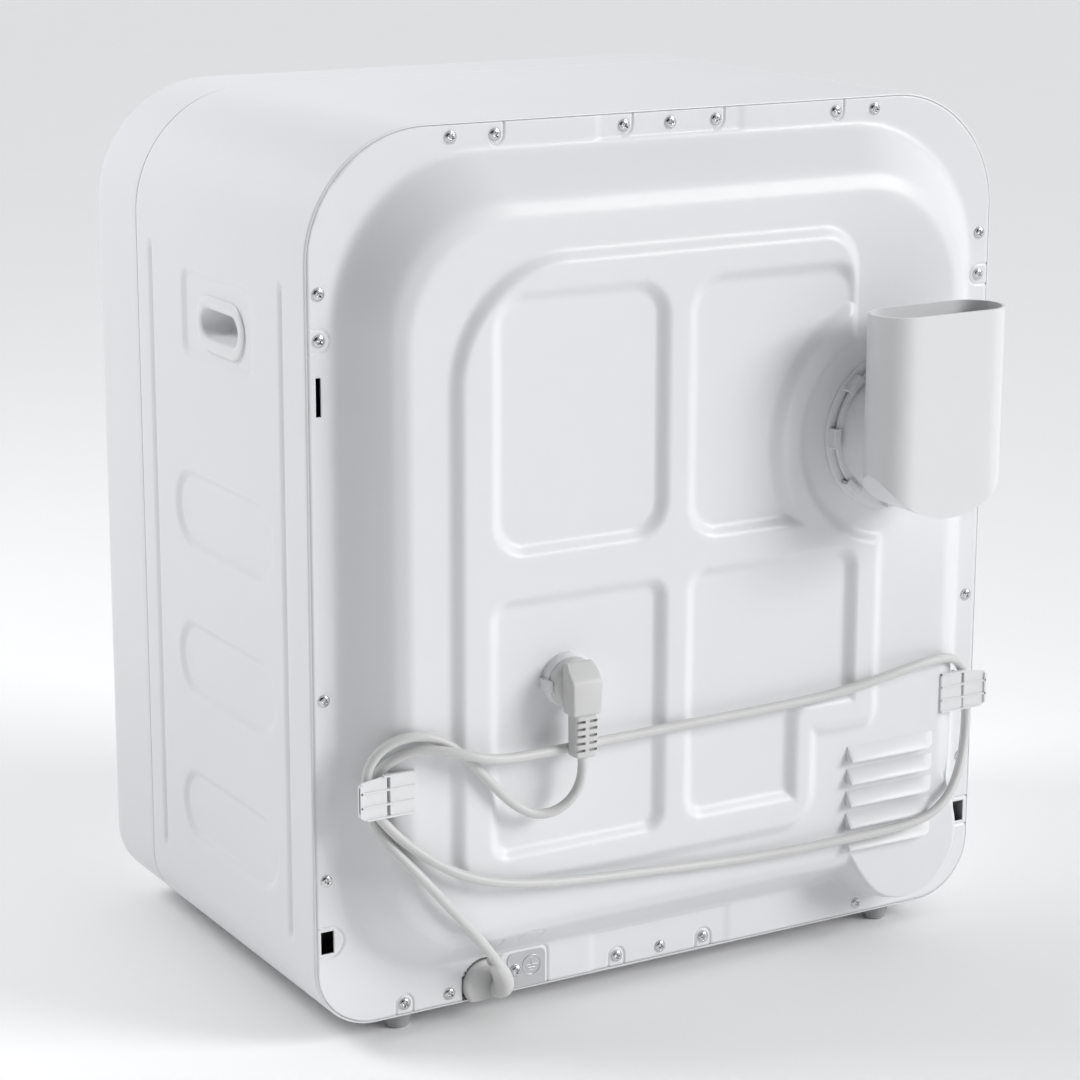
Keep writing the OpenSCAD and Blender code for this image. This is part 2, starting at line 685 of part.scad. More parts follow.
module lint_filter_cover() color(white) {
    ring(0, drum_z, 58, 66, 78, 81);
    ring(0, drum_z, 66, 69, 78, 91.4);
    ring(0, drum_z, 69, 79, drum_rear_y - 4, drum_rear_y - 1.8);
    for (a = [0:30:150]) translate([0, 0, drum_z]) rotate([0, a, 0]) block(-60, 60, 78, 80, -1.5, 1.5);
}

module lint_filter_mesh() color(grey) rod(0, drum_z, 65.8, 82, 83);

// ---- fan ----

module fan_outline(inset) {
    translate([0, drum_z]) circle(132 - inset);
    translate([exhaust_x, exhaust_z]) circle(62 - inset);
    polygon([[-20, drum_z + 132 - inset], [exhaust_x, exhaust_z + 62 - inset],
        [exhaust_x, exhaust_z - 62 + inset], [-60, drum_z - 100 + inset]]);
}

module fan_housing() color(grey) difference() {
    slab(fan_front_y, fan_back_y) fan_outline(0);
    slab(fan_front_y + 2, fan_back_y - 2) fan_outline(2.5);
    rod(0, drum_z, filter_r, fan_front_y - 1, fan_front_y + 3);
    rod(0, drum_z, 50, fan_back_y - 3, fan_back_y + 1);
    rod(exhaust_x, exhaust_z, 45.5, fan_back_y - 3, fan_back_y + 1);
}

module fan_wheel() color(dark) difference() {
    union() {
        rod(0, drum_z, 118, 156, 159);
        ring(0, drum_z, 80, 118, 130, 132);
        for (a = [0:20:340]) translate([0, 0, drum_z]) rotate([0, a, 0]) translate([99, 0, 0])
            rotate([0, 30, 0]) block(-16, 16, 131, 157, -1.2, 1.2);
        rod(0, drum_z, 16, 130, 176);
        rod(0, drum_z, fan_pulley_r, 167, 176);
    }
    rod(0, drum_z, axle_r + run_gap, 120, 180);
}

module fan_axle() color(steel) {
    rod(0, drum_z, 20, bearing_y1, bearing_y1 + 3);
    rod(0, drum_z, axle_r, bearing_y1 + 3, 178);
}

// ---- drive ----

motor_y0 = -15;
motor_y1 = 95;
pinion_y = -70;
fan_belt_y = 171;

module motor() color(grey) difference() {
    union() {
        rod(motor_x, motor_z, 48, motor_y0 + 8, motor_y1 - 8);
        rod(motor_x, motor_z, 40, motor_y0, motor_y1);
    }
    rod(motor_x, motor_z, motor_shaft_r + run_gap, motor_y0 - 1, motor_y1 + 1);
}

module motor_mount() color(steel) difference() {
    block(motor_x - 50, motor_x + 50, motor_y0 + 12, motor_y1 - 12, floor_z + sheet + 1.5, motor_z - 22);
    rod(motor_x, motor_z, 48.2, -100, 150);
    block(motor_x - 42, motor_x + 42, motor_y0 + 24, motor_y1 - 24, 0, motor_z);
}

module motor_shaft() color(steel) {
    rod(motor_x, motor_z, motor_shaft_r, pinion_y - 14, 178);
    rod(motor_x, motor_z, pinion_r, pinion_y - 9, pinion_y + 9);
    rod(motor_x, motor_z, fan_drive_r, fan_belt_y - 4, fan_belt_y + 5);
}

// A belt round two pulleys of radii r1 and r2.
module belt(r1, r2, y, width, thick) slab(y - width / 2, y + width / 2) difference() {
    hull() {
        translate([0, drum_z]) circle(r1 + gap + thick, $fn = 120);
        translate([motor_x, motor_z]) circle(r2 + gap + thick, $fn = 40);
    }
    hull() {
        translate([0, drum_z]) circle(r1 + gap, $fn = 120);
        translate([motor_x, motor_z]) circle(r2 + gap, $fn = 40);
    }
}

module drum_belt() color(dark) belt(drum_r, pinion_r, pinion_y, 12, 2);
module fan_belt() color(dark) belt(fan_pulley_r, fan_drive_r, fan_belt_y, 6, 3);

// ---- heater and electrics ----

module heater_box() color(steel) difference() {
    block(-232, -130, fan_front_y, dome_y - 4, 88, 178);
    block(-230, -132, fan_front_y - 1, dome_y, 90, 176);
}

module heater_element() color([0.5, 0.42, 0.35]) difference() {
    block(-226, -136, 135, 160, 96, 170);
    for (x = [-222:12:-146]) block(x, x + 6, 130, 165, 100, 166);
}

module run_capacitor() color(dark) rod(-110, 50, 20, -20, 50);

// ---- mains cord ----

module mains_cord() color([0.9, 0.9, 0.89]) {
    rings = sides_from(0, [0, 0, 1]);
    r = cord_d / 2;
    n = len(cord_path);
    points = [for (i = [0:n - 1], k = [0:cord_sides - 1])
        let (d = direction(i), s = rings[i], t = cross(d, s), a = 360 * k / cord_sides)
        cord_path[i] + r * (cos(a) * s + sin(a) * t)];
    walls = [for (i = [0:n - 2], k = [0:cord_sides - 1]) let (m = (k + 1) % cord_sides)
        [i * cord_sides + k, (i + 1) * cord_sides + k, (i + 1) * cord_sides + m, i * cord_sides + m]];
    caps = [[for (k = [0:cord_sides - 1]) k],
        [for (k = [cord_sides - 1:-1:0]) (n - 1) * cord_sides + k]];
    polyhedron(points, concat(walls, caps));
}

cabinet_wrap();
front_panel();
rear_panel();
base_pan();
feet();
side_grip_left();
side_grip_right();
cord_hook_left();
cord_hook_right();
plug_holder();
cord_gland();
earth_plate();
exhaust_collar();
exhaust_elbow();
rear_screws();
control_fascia();
timer_knob();
timer_switch();
start_button();
start_switch();
indicator_lenses();
door_ring();
door_window();
door_liner();
door_handle();
hinge_leaf();
hinge_bracket();
hinge_pin();
door_latch();
door_catch();
door_switch();
door_switch_plunger();
door_seal();
door_throat();
front_bulkhead();
drum_felt();
drum_shell();
drum_back();
drum_baffle_1();
drum_baffle_2();
drum_baffle_3();
drum_shaft();
rear_bearing();
lint_filter_cover();
lint_filter_mesh();
rear_bulkhead();
fan_housing();
fan_wheel();
fan_axle();
exhaust_duct();
motor();
motor_mount();
motor_shaft();
drum_belt();
fan_belt();
heater_box();
heater_element();
run_capacitor();
mains_cord();
mains_plug();
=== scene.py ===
"""Looks for the clothes dryer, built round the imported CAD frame.

Shapes are worked out in millimetres in the row frame (+Y is the rear, +Z is up, the floor is z = 0)
and turned into metres when a mesh is made.
"""

import json
import math

import bmesh
import bpy
import numpy as np
from mathutils import Matrix, Vector


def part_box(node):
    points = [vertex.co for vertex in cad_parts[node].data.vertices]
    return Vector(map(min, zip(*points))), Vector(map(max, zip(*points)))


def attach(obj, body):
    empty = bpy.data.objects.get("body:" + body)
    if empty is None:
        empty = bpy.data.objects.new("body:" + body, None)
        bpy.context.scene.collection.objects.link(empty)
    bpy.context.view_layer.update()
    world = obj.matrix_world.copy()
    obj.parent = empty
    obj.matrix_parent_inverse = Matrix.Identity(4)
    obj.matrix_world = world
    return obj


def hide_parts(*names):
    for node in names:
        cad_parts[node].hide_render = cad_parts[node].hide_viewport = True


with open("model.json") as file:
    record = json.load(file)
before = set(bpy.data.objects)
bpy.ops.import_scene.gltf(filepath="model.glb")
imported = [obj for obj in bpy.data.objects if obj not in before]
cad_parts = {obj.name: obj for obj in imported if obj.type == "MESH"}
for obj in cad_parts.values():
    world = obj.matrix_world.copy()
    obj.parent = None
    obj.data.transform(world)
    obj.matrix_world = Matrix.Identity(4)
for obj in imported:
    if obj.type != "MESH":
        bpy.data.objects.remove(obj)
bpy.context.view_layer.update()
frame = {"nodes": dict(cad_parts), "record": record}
MM = 0.001


def mm_box(node):
    """The low and high corner of a CAD node, in millimetres."""
    low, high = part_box(node)
    return np.array(low) / MM, np.array(high) / MM


# Driving sizes, from the frame.
wrap_low, wrap_high = mm_box("cabinet_wrap")
SEAM_Y = wrap_low[1]
REAR_Y = wrap_high[1]
HALF_W = wrap_high[0]
FLOOR_Z = wrap_low[2]
ROOF_Z = wrap_high[2]
FRONT_Y = mm_box("front_panel")[0][1]
LOUVRES_PAST_FIELD = 2
FIELD_Y = mm_box("rear_panel")[1][1] - LOUVRES_PAST_FIELD
DOME_Y = mm_box("exhaust_collar")[0][1]
TOP_R = 95
LOW_R = 50

# -------- materials

FINISHES = {}


def link(tree, a, b):
    tree.links.new(a, b)


def texture(tree, kind, place, **inputs):
    """A texture node in object space, with its inputs set by name."""
    made = tree.nodes.new("ShaderNodeTex" + kind)
    for name, value in inputs.items():
        made.inputs[name].default_value = value
    link(tree, place.outputs["Object"], made.inputs["Vector"])
    return made


def finish(name, colour, rough, metal=0.0, tint=0.02, spread=0.05, grain=900.0, bump=0.06, coat=0.0,
           sheen=0.0, cells=False, lines=None, glass=0.0):
    """A procedural finish: drifting colour, uneven gloss and a fine relief at the given grain."""
    made = bpy.data.materials.new(name)
    made.use_nodes = True
    tree = made.node_tree
    shader = tree.nodes["Principled BSDF"]
    for socket, value in (("Metallic", metal), ("Coat Weight", coat), ("Coat Roughness", 0.12),
                          ("Sheen Weight", sheen), ("Transmission Weight", glass), ("IOR", 1.5)):
        shader.inputs[socket].default_value = value
    place = tree.nodes.new("ShaderNodeTexCoord")

    drift = texture(tree, "Noise", place, Scale=7.0, Detail=3.0)
    ramp = tree.nodes.new("ShaderNodeValToRGB")
    for stop, sign in zip(ramp.color_ramp.elements, (-1, 1)):
        stop.color = [min(1.0, c * (1 + sign * tint)) for c in colour] + [1.0]
    ramp.color_ramp.elements[0].position = 0.3
    ramp.color_ramp.elements[1].position = 0.7
    link(tree, drift.outputs["Fac"], ramp.inputs["Fac"])
    link(tree, ramp.outputs["Color"], shader.inputs["Base Color"])

    wear = texture(tree, "Noise", place, Scale=30.0, Detail=5.0)
    span = tree.nodes.new("ShaderNodeMapRange")
    span.inputs["To Min"].default_value = max(0.02, rough - spread)
    span.inputs["To Max"].default_value = min(1.0, rough + spread)
    link(tree, wear.outputs["Fac"], span.inputs["Value"])
    link(tree, span.outputs["Result"], shader.inputs["Roughness"])

    relief = tree.nodes.new("ShaderNodeBump")
    relief.inputs["Strength"].default_value = bump
    relief.inputs["Distance"].default_value = 0.0004
    if cells:
        fine = texture(tree, "Voronoi", place, Scale=grain)
    elif lines:
        fine = texture(tree, "Wave", place, Scale=grain, Distortion=2.0, Detail=3.0)
        fine.bands_direction = lines
    else:
        fine = texture(tree, "Noise", place, Scale=grain, Detail=2.0)
    link(tree, fine.outputs["Distance" if cells else "Fac"], relief.inputs["Height"])
    link(tree, relief.outputs["Normal"], shader.inputs["Normal"])
    FINISHES[name] = made
    return made


WHITE = (0.80, 0.805, 0.82)
finish("painted_steel", WHITE, 0.42, grain=260, bump=0.05, tint=0.008, coat=0.12)
finish("front_shell", WHITE, 0.36, grain=700, bump=0.04, tint=0.008, coat=0.1)
finish("white_plastic", (0.79, 0.795, 0.805), 0.38, grain=1600, bump=0.08, tint=0.01)
finish("grey_plastic", (0.36, 0.365, 0.375), 0.45, grain=1400, bump=0.12)
finish("black_plastic", (0.03, 0.03, 0.032), 0.4, grain=1400, bump=0.12)
finish("zinc_steel", (0.62, 0.63, 0.64), 0.32, metal=1.0, grain=45, cells=True, bump=0.05, tint=0.08,
       spread=0.12)
finish("chrome", (0.66, 0.66, 0.67), 0.16, metal=1.0, grain=600, bump=0.03, spread=0.06)
finish("drum_steel", (0.66, 0.66, 0.67), 0.28, metal=1.0, grain=180, lines="Y", bump=0.05)
finish("motor_paint", (0.12, 0.13, 0.14), 0.5, grain=500, bump=0.2)
finish("felt", (0.55, 0.52, 0.45), 0.95, grain=1100, bump=0.9, sheen=0.4, tint=0.08)
finish("black_rubber", (0.025, 0.025, 0.026), 0.7, grain=900, bump=0.25)
finish("grey_rubber", (0.26, 0.265, 0.27), 0.65, grain=900, bump=0.25)
finish("window_glass", (0.10, 0.11, 0.12), 0.06, glass=0.75, spread=0.02, bump=0.01)
finish("amber_lens", (0.85, 0.32, 0.04), 0.2, glass=0.3, bump=0.02)
finish("filter_cloth", (0.30, 0.33, 0.36), 0.8, grain=900, cells=True, bump=0.8)
finish("ceramic", (0.50, 0.30, 0.18), 0.7, grain=500, bump=0.3)
finish("cord_sheath", (0.64, 0.64, 0.635), 0.42, grain=1200, bump=0.1, tint=0.015)
for part in frame["record"]["subparts"]:
    for place in frame["nodes"][part["node"]].material_slots:
        place.material = FINISHES[part["material_slot"]]

# -------- mesh tools

WELD = 2e-6
SHARP = 35


def link_object(name, data):
    """A new object in the scene."""
    made = bpy.data.objects.new(name, data)
    bpy.context.scene.collection.objects.link(made)
    return made


def mesh_object(name, points, faces):
    """An object from points in millimetres, welded, with its normals facing out."""
    mesh = bpy.data.meshes.new(name)
    mesh.from_pydata((np.asarray(points, float) * MM).tolist(), [], [list(map(int, f)) for f in faces])
    made = link_object(name, mesh)
    shaped = bmesh.new()
    shaped.from_mesh(mesh)
    bmesh.ops.remove_doubles(shaped, verts=shaped.verts, dist=WELD)
    bmesh.ops.recalc_face_normals(shaped, faces=shaped.faces)
    shaped.to_mesh(mesh)
    shaped.free()
    return made


def shade(made, sharp):
    """Shades smooth, apart from the edges sharper than an angle in degrees."""
    made.data.polygons.foreach_set("use_smooth", [True] * len(made.data.polygons))
    made.data.set_sharp_from_angle(angle=math.radians(sharp))


def claim(made, slot, body, stands_for):
    """Gives a piece its finish, the body it rides on and the CAD nodes it stands for."""
    made.data.materials.append(FINISHES[slot])
    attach(made, body)
    if stands_for:
        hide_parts(*stands_for)


def piece(name, points, faces, slot, body="cabinet", stands_for=(), sharp=SHARP, bevel=0.0):
    """A smooth-shaded mesh from points in millimetres."""
    made = mesh_object(name, points, faces)
    if bevel:
        rounding = made.modifiers.new("rounding", "BEVEL")
        rounding.width = bevel * MM
        rounding.segments = 3
        rounding.limit_method = "ANGLE"
        rounding.angle_limit = math.radians(SHARP)
        apply_modifiers(made)
    shade(made, sharp)
    claim(made, slot, body, stands_for)
    return made


def sheet(made, thickness):
    """Thickens a surface inwards by some millimetres."""
    thick = made.modifiers.new("sheet", "SOLIDIFY")
    thick.thickness = thickness * MM
    thick.offset = -1


def apply_modifiers(made):
    """Bakes an object's modifiers into its mesh."""
    bpy.context.view_layer.update()
    shaped = made.evaluated_get(bpy.context.evaluated_depsgraph_get())
    mesh = bpy.data.meshes.new_from_object(shaped)
    made.modifiers.clear()
    made.data = mesh


def join_shapes(*shapes):
    """Puts several (points, faces) shapes into one."""
    points, faces, start = [], [], 0
    for p, f in shapes:
        points.append(np.asarray(p, float))
        faces += [[start + i for i in face] for face in f]
        start += len(p)
    return np.vstack(points), faces


def loft(rings, caps=True):
    """Quads between closed rings of equally many points, capped at both ends."""
    n = len(rings[0])
    points = np.vstack(rings)
    faces = []
    for i in range(len(rings) - 1):
        for k in range(n):
            m = (k + 1) % n
            faces.append([i * n + k, i * n + m, (i + 1) * n + m, (i + 1) * n + k])
    if caps:
        faces.append(list(range(n - 1, -1, -1)))
        faces.append([(len(rings) - 1) * n + k for k in range(n)])
    return points, faces


def grid_faces(index):
    """Quads between neighbouring points of a grid of indices."""
    return np.stack([index[:-1, :-1], index[1:, :-1], index[1:, 1:], index[:-1, 1:]], -1)


def lathe(x, z, profile, steps, closed=False):
    """Turns (radius, y) points about an axis along Y. closed joins the last point to the first."""
    profile = list(profile) + ([profile[0]] if closed else [])
    return loft([outline_ring(circle(x, z, r, steps), y) for r, y in profile], caps=False)


def rod(x, z, r, y0, y1, steps):
    return lathe(x, z, [(0, y0), (r, y0), (r, y1), (0, y1)], steps)


def circle(cx, cy, r, steps):
    a = np.arange(steps) * 2 * math.pi / steps
    return np.column_stack([cx + r * np.cos(a), cy + r * np.sin(a)])


def outline_ring(shape, y):
    """A 2-D outline of (x, z) at one y."""
    return np.column_stack([shape[:, 0], np.full(len(shape), y), shape[:, 1]])


def level_ring(shape, z):
    """A 2-D outline of (x, y) at one z."""
    return np.column_stack([shape, np.full(len(shape), z)])


def slab(shape, y0, y1):
    """An outline of (x, z) points extruded along Y."""
    return loft([outline_ring(shape, y0), outline_ring(shape, y1)])


def box(x0, x1, y0, y1, z0, z1):
    return slab(np.array([[x0, z0], [x1, z0], [x1, z1], [x0, z1]], float), y0, y1)


def rounded_outline(x0, x1, z0, z1, radii, steps=12):
    """A rectangle whose corners, from low left and anticlockwise, have their own radii."""
    corners = [(x0, z0, 1, 1, 180), (x1, z0, -1, 1, 270), (x1, z1, -1, -1, 0), (x0, z1, 1, -1, 90)]
    shape = []
    for (cx, cz, sx, sz, start), r in zip(corners, radii):
        for t in np.linspace(0, 90, steps + 1):
            a = math.radians(start + t)
            shape.append((cx + sx * r + r * math.cos(a), cz + sz * r + r * math.sin(a)))
    return np.array(shape)


def combine(made, other, operation):
    """Joins or cuts made with a (points, faces) shape, exactly."""
    tool = mesh_object("cutter", *other)
    change = made.modifiers.new("change", "BOOLEAN")
    change.object = tool
    change.operation = operation
    change.solver = "EXACT"
    slots = len(made.data.materials)
    apply_modifiers(made)
    bpy.data.objects.remove(tool)
    while len(made.data.materials) > slots:
        made.data.materials.pop()
    shade(made, SHARP)


def from_y(base, profile):
    """A (radius, y) profile moved along Y."""
    return [(r, base + y) for r, y in profile]


def sweep(line, radii, start, steps):
    """Rings of (across, up) radii along a line, turned so that across is square to start."""
    rings = []
    a = np.arange(steps) * 2 * math.pi / steps
    for i, (p, (r0, r1)) in enumerate(zip(line, radii)):
        ahead = line[min(i + 1, len(line) - 1)] - line[max(i - 1, 0)]
        ahead /= np.linalg.norm(ahead)
        across = np.cross(ahead, start)
        across /= np.linalg.norm(across)
        rings.append(p + r0 * np.outer(np.cos(a), across) + r1 * np.outer(np.sin(a), np.cross(across, ahead)))
    return loft(rings)


def ease(t):
    """0 below 0, 1 above 1, and a smooth rise between."""
    t = np.clip(t, 0, 1)
    return t * t * (3 - 2 * t)


def disc_distance(x, z, cx, cz, r):
    return np.hypot(x - cx, z - cz) - r


def corner_distance(dx, dz, r):
    """Signed distance from how far a point lies past the corner centres along each axis."""
    return np.hypot(np.maximum(dx, 0), np.maximum(dz, 0)) + np.minimum(np.maximum(dx, dz), 0) - r


def box_distance(x, z, x0, x1, z0, z1, r):
    """Signed distance to a rounded rectangle."""
    return corner_distance(np.abs(x - (x0 + x1) / 2) - (x1 - x0) / 2 + r,
                           np.abs(z - (z0 + z1) / 2) - (z1 - z0) / 2 + r, r)


def arch_distance(x, z, half, z0, z1, r_top, r_low):
    """Signed distance to a rectangle about x = 0 with its own top and bottom corner radii."""
    middle = (z0 + z1) / 2
    r = np.where(z > middle, r_top, r_low)
    return corner_distance(np.abs(x) - half + r, np.abs(z - middle) - (z1 - z0) / 2 + r, r)


# -------- camera, light and floor

CAMERA_PLACE = (1.210, 2.032, 0.930)
CAMERA_YAW = math.radians(30.29)
CAMERA_PITCH = math.radians(13.87)
CAMERA_ROLL = math.radians(0.15)

forward = Vector((-math.sin(CAMERA_YAW) * math.cos(CAMERA_PITCH),
                  -math.cos(CAMERA_YAW) * math.cos(CAMERA_PITCH), -math.sin(CAMERA_PITCH)))
camera_data = bpy.data.cameras.new("camera")
camera_data.lens = 101.7
camera_data.sensor_width = 36
camera_data.shift_x = 0.0004
camera_data.shift_y = -0.0296
camera = link_object("camera", camera_data)
turn = forward.to_track_quat("-Z", "Y").to_matrix() @ Matrix.Rotation(CAMERA_ROLL, 3, "Z")
camera.matrix_world = Matrix.Translation(CAMERA_PLACE) @ turn.to_4x4()
bpy.context.scene.camera = camera


def soft_sun(name, azimuth, elevation, strength, spread, tone):
    """A wide soft light from an azimuth, turned from +Y towards +X, and an elevation, in degrees."""
    data = bpy.data.lights.new(name, "SUN")
    data.energy = strength
    data.angle = math.radians(spread)
    data.color = tone
    made = link_object(name, data)
    a, e = math.radians(azimuth), math.radians(elevation)
    towards = Vector((math.sin(a) * math.cos(e), math.cos(a) * math.cos(e), math.sin(e)))
    made.matrix_world = (-towards).to_track_quat("-Z", "Y").to_matrix().to_4x4()


def soft_box(name, place, aim, size, power):
    """A square soft box at a place, aimed at a point."""
    data = bpy.data.lights.new(name, "AREA")
    data.size = size
    data.energy = power
    made = link_object(name, data)
    aimed = (Vector(aim) - Vector(place)).to_track_quat("-Z", "Y")
    made.matrix_world = Matrix.Translation(place) @ aimed.to_matrix().to_4x4()


soft_sun("key_light", -46, 24, 1.72, spread=26, tone=(1, 0.998, 0.993))
soft_box("side_light", (1.6, -0.95, 1.9), (0.3, 0, 0.6), 0.9, 23)

# A pale sky that darkens towards one side, and more so higher up.
SKY_STRENGTH = 0.72
SHADED_SIDE = (0.80, 0.60, 0.0)
SHADE_SPAN = (0.1, 0.7)
SHADED_HORIZON = 0.34
SHADED_ZENITH = 0.0
RISE_SPAN = (0.08, 0.3)

world = bpy.data.worlds.new("studio")
world.use_nodes = True
sky_tree = world.node_tree
sky = sky_tree.nodes["Background"]
sky.inputs["Color"].default_value = (0.97, 0.98, 1.0, 1)


def sky_range(source, reach, low):
    """A smooth step over a span of a value, from low."""
    made = sky_tree.nodes.new("ShaderNodeMapRange")
    made.interpolation_type = "SMOOTHSTEP"
    made.inputs["From Min"].default_value, made.inputs["From Max"].default_value = reach
    made.inputs["To Min"].default_value = low
    link(sky_tree, source, made.inputs["Value"])
    return made


sky_place = sky_tree.nodes.new("ShaderNodeTexCoord")
sky_side = sky_tree.nodes.new("ShaderNodeVectorMath")
sky_side.operation = "DOT_PRODUCT"
sky_side.inputs[1].default_value = SHADED_SIDE
sky_rise = sky_tree.nodes.new("ShaderNodeSeparateXYZ")
link(sky_tree, sky_place.outputs["Generated"], sky_side.inputs[0])
link(sky_tree, sky_place.outputs["Generated"], sky_rise.inputs["Vector"])
sky_span = sky_range(sky_side.outputs["Value"], SHADE_SPAN, SKY_STRENGTH)
shade_span = sky_range(sky_rise.outputs["Z"], RISE_SPAN, SHADED_HORIZON)
shade_span.inputs["To Max"].default_value = SHADED_ZENITH
link(sky_tree, shade_span.outputs["Result"], sky_span.inputs["To Max"])
link(sky_tree, sky_span.outputs["Result"], sky.inputs["Strength"])
bpy.context.scene.world = world
bpy.context.scene.view_settings.view_transform = "Standard"
bpy.context.scene.view_settings.look = "None"

FLOOR_HALF = 60
floor_mesh = bpy.data.meshes.new("studio_floor")
floor_mesh.from_pydata([(FLOOR_HALF * x, FLOOR_HALF * y, 0) for x, y in ((-1, -1), (1, -1), (1, 1), (-1, 1))],
                       [], [(0, 1, 2, 3)])
studio_floor = link_object("studio_floor", floor_mesh)
floor_mesh.materials.append(finish("floor_paint", (0.985,) * 3, 0.7, grain=60, bump=0.02, tint=0.003))

# -------- mains cord

# The same route as the CAD cord's: the points that steer a uniform cubic B-spline.
ROUTE = np.array([
    (151, 164, 40), (174, 189, 70), (206, 198, 106), (239, 196, 146), (263, 179, 174), (269, 167, 202),
    (259, 184, 230), (234, 195, 240), (206, 208, 234), (182, 209, 225), (142, 200, 221), (20, 199, 223),
    (-110, 198, 223), (-165, 201, 231), (-221, 200, 241), (-257, 185.5, 233), (-275, 173, 202),
    (-275, 174, 172), (-259, 190, 137), (-227, 204, 108), (-170, 201.5, 105), (-60, 193, 101),
    (40, 195, 110), (130, 200, 118), (190, 201, 130), (228, 197, 152), (259, 184, 180), (275, 180, 210),
    (269, 184, 238), (243, 193, 252), (213, 194, 242), (190, 201, 217), (166, 200, 189), (144, 202, 173),
    (120, 205, 177), (107, 208, 196), (108, 209, 217)], float)
CORD_D = 7.5
CORD_STEPS = 8


def spline_points(route, steps):
    """Points along the uniform cubic B-spline that the route steers, ends included."""
    ends = np.vstack([2 * route[0] - route[1], route, 2 * route[-1] - route[-2]])
    line = []
    for i in range(1, len(route)):
        a, b, c, d = ends[i - 1:i + 3]
        for t in np.arange(steps) / steps:
            line.append(((1 - t) ** 3 * a + (3 * t ** 3 - 6 * t * t + 4) * b
                         + (1 + 3 * t + 3 * t * t - 3 * t ** 3) * c + t ** 3 * d) / 6)
    line.append(route[-1])
    return np.array(line)


def curve_piece(name, line, radius, slot, stands_for):
    """A round tube along points in millimetres, kept as a curve."""
    data = bpy.data.curves.new(name, "CURVE")
    data.dimensions = "3D"
    data.bevel_depth = radius * MM
    data.bevel_resolution = 6
    data.use_fill_caps = True
    spline = data.splines.new("POLY")
    spline.points.add(len(line) - 1)
    for point, place in zip(spline.points, line):
        point.co = (*(place * MM), 1)
    spline.use_smooth = True
    made = link_object(name, data)
    claim(made, slot, "cabinet", stands_for)
    return made


cord_line = spline_points(ROUTE, CORD_STEPS)
mains_cord = curve_piece("mains_cord_sheath", cord_line, CORD_D / 2, "cord_sheath", stands_for=["mains_cord"])

# -------- mains plug

PLUG_X = 110
PLUG_Z = 271
PLUG_Y = mm_box("plug_holder")[1][1] - 6
PIN_PITCH = 19
RELIEF_X = ROUTE[-1][0]
RELIEF_Y = 209
RELIEF_GAPS, GAP_Z0, GAP_PITCH, GAP_H = 5, 222, 5.5, 2.1


def section(cx, cy, z, half_x, half_y, r):
    """A rounded rectangle in the plane z, as a ring."""
    shape = rounded_outline(cx - half_x, cx + half_x, cy - half_y, cy + half_y, [r] * 4, steps=5)
    return level_ring(shape, z)


plug_disc = lathe(PLUG_X, PLUG_Z, from_y(PLUG_Y, [(0, 0), (18.4, 0), (19, 0.6), (19, 5.4), (18.3, 7.2),
                                                  (16.6, 8.8), (14, 9.4), (0, 9.4)]), 72)
plug_body = loft([section(PLUG_X, PLUG_Y + y, z, half_x, half_y, r) for y, z, half_x, half_y, r in
                  [(16.3, 251, 11.6, 6.4, 2.5), (16, 252.2, 12.7, 7.8, 2.5), (16, 275, 13.3, 8, 2.2),
                   (15, 278, 13.3, 7, 2.2), (12, 284, 12.9, 4.2, 2), (10, 288.3, 11, 1.8, 1)]])
plug_relief = loft([section(RELIEF_X, RELIEF_Y, z, half_x, half_y, 2.6) for z, half_x, half_y in
                    [(217, 7.6, 5.4), (218.4, 9.3, 6.6), (246, 9.5, 7), (249, 9.2, 7), (252, 9, 6.8)]])
pin_profile = from_y(PLUG_Y, [(0, -19), (1.6, -19), (2.4, -17.6), (2.4, 1), (0, 1)])
plug_pins = [lathe(PLUG_X, PLUG_Z + s * PIN_PITCH / 2, pin_profile, 24) for s in (-1, 1)]
mains_plug = piece("plug_moulding", *join_shapes(plug_disc, plug_body, plug_relief), "cord_sheath",
                   stands_for=["mains_plug"])
for i in range(RELIEF_GAPS):
    z = GAP_Z0 + GAP_PITCH * i
    for s in (-1, 1):
        x = RELIEF_X + s * 5.2
        combine(mains_plug, box(x - 3.6, x + 3.6, RELIEF_Y + 3.6, RELIEF_Y + 11, z, z + GAP_H), "DIFFERENCE")
plug_pin_pair = piece("plug_pins", *join_shapes(*plug_pins), "chrome")

# -------- rear panel

EXHAUST_X = -180
EXHAUST_Z = 427
SOCKET_R = 51
FLANGE_W = 22
SLOT_X = 289
SLOT_Z = 86
SLIT_X, SLIT_Z0, SLIT_Z1 = 290, 480, 506
EDGE = 11  # the top and side screws' distance from the cabinet's outline
LOW_EDGE = 10
SIDE_TAB_Z = 533
JOGGLE = 0.9  # how far the sheet steps in beside the middle screws
SCREWS = ([(x, ROOF_Z - EDGE) for x in (-184, -148, -40, 0, 40, 148, 184)]
          + [(s * (HALF_W - EDGE), z) for s in (-1, 1) for z in (566, SIDE_TAB_Z, 271, 134)]
          + [(x, FLOOR_Z + LOW_EDGE) for x in (-188, -40, 0, 40, 188, 226)])
TOP_TAB_XS = (148, 40, -40, -148)
LOW_TAB_XS = (226, 40, -40)
LOUVRE_ZS = [FLOOR_Z + 75.2 + 18.3 * i for i in range(5)]
LOUVRE_X0, LOUVRE_X1 = -227, -147

DOME_RISE = DOME_Y - REAR_Y
FIELD_RISE = FIELD_Y - DOME_Y

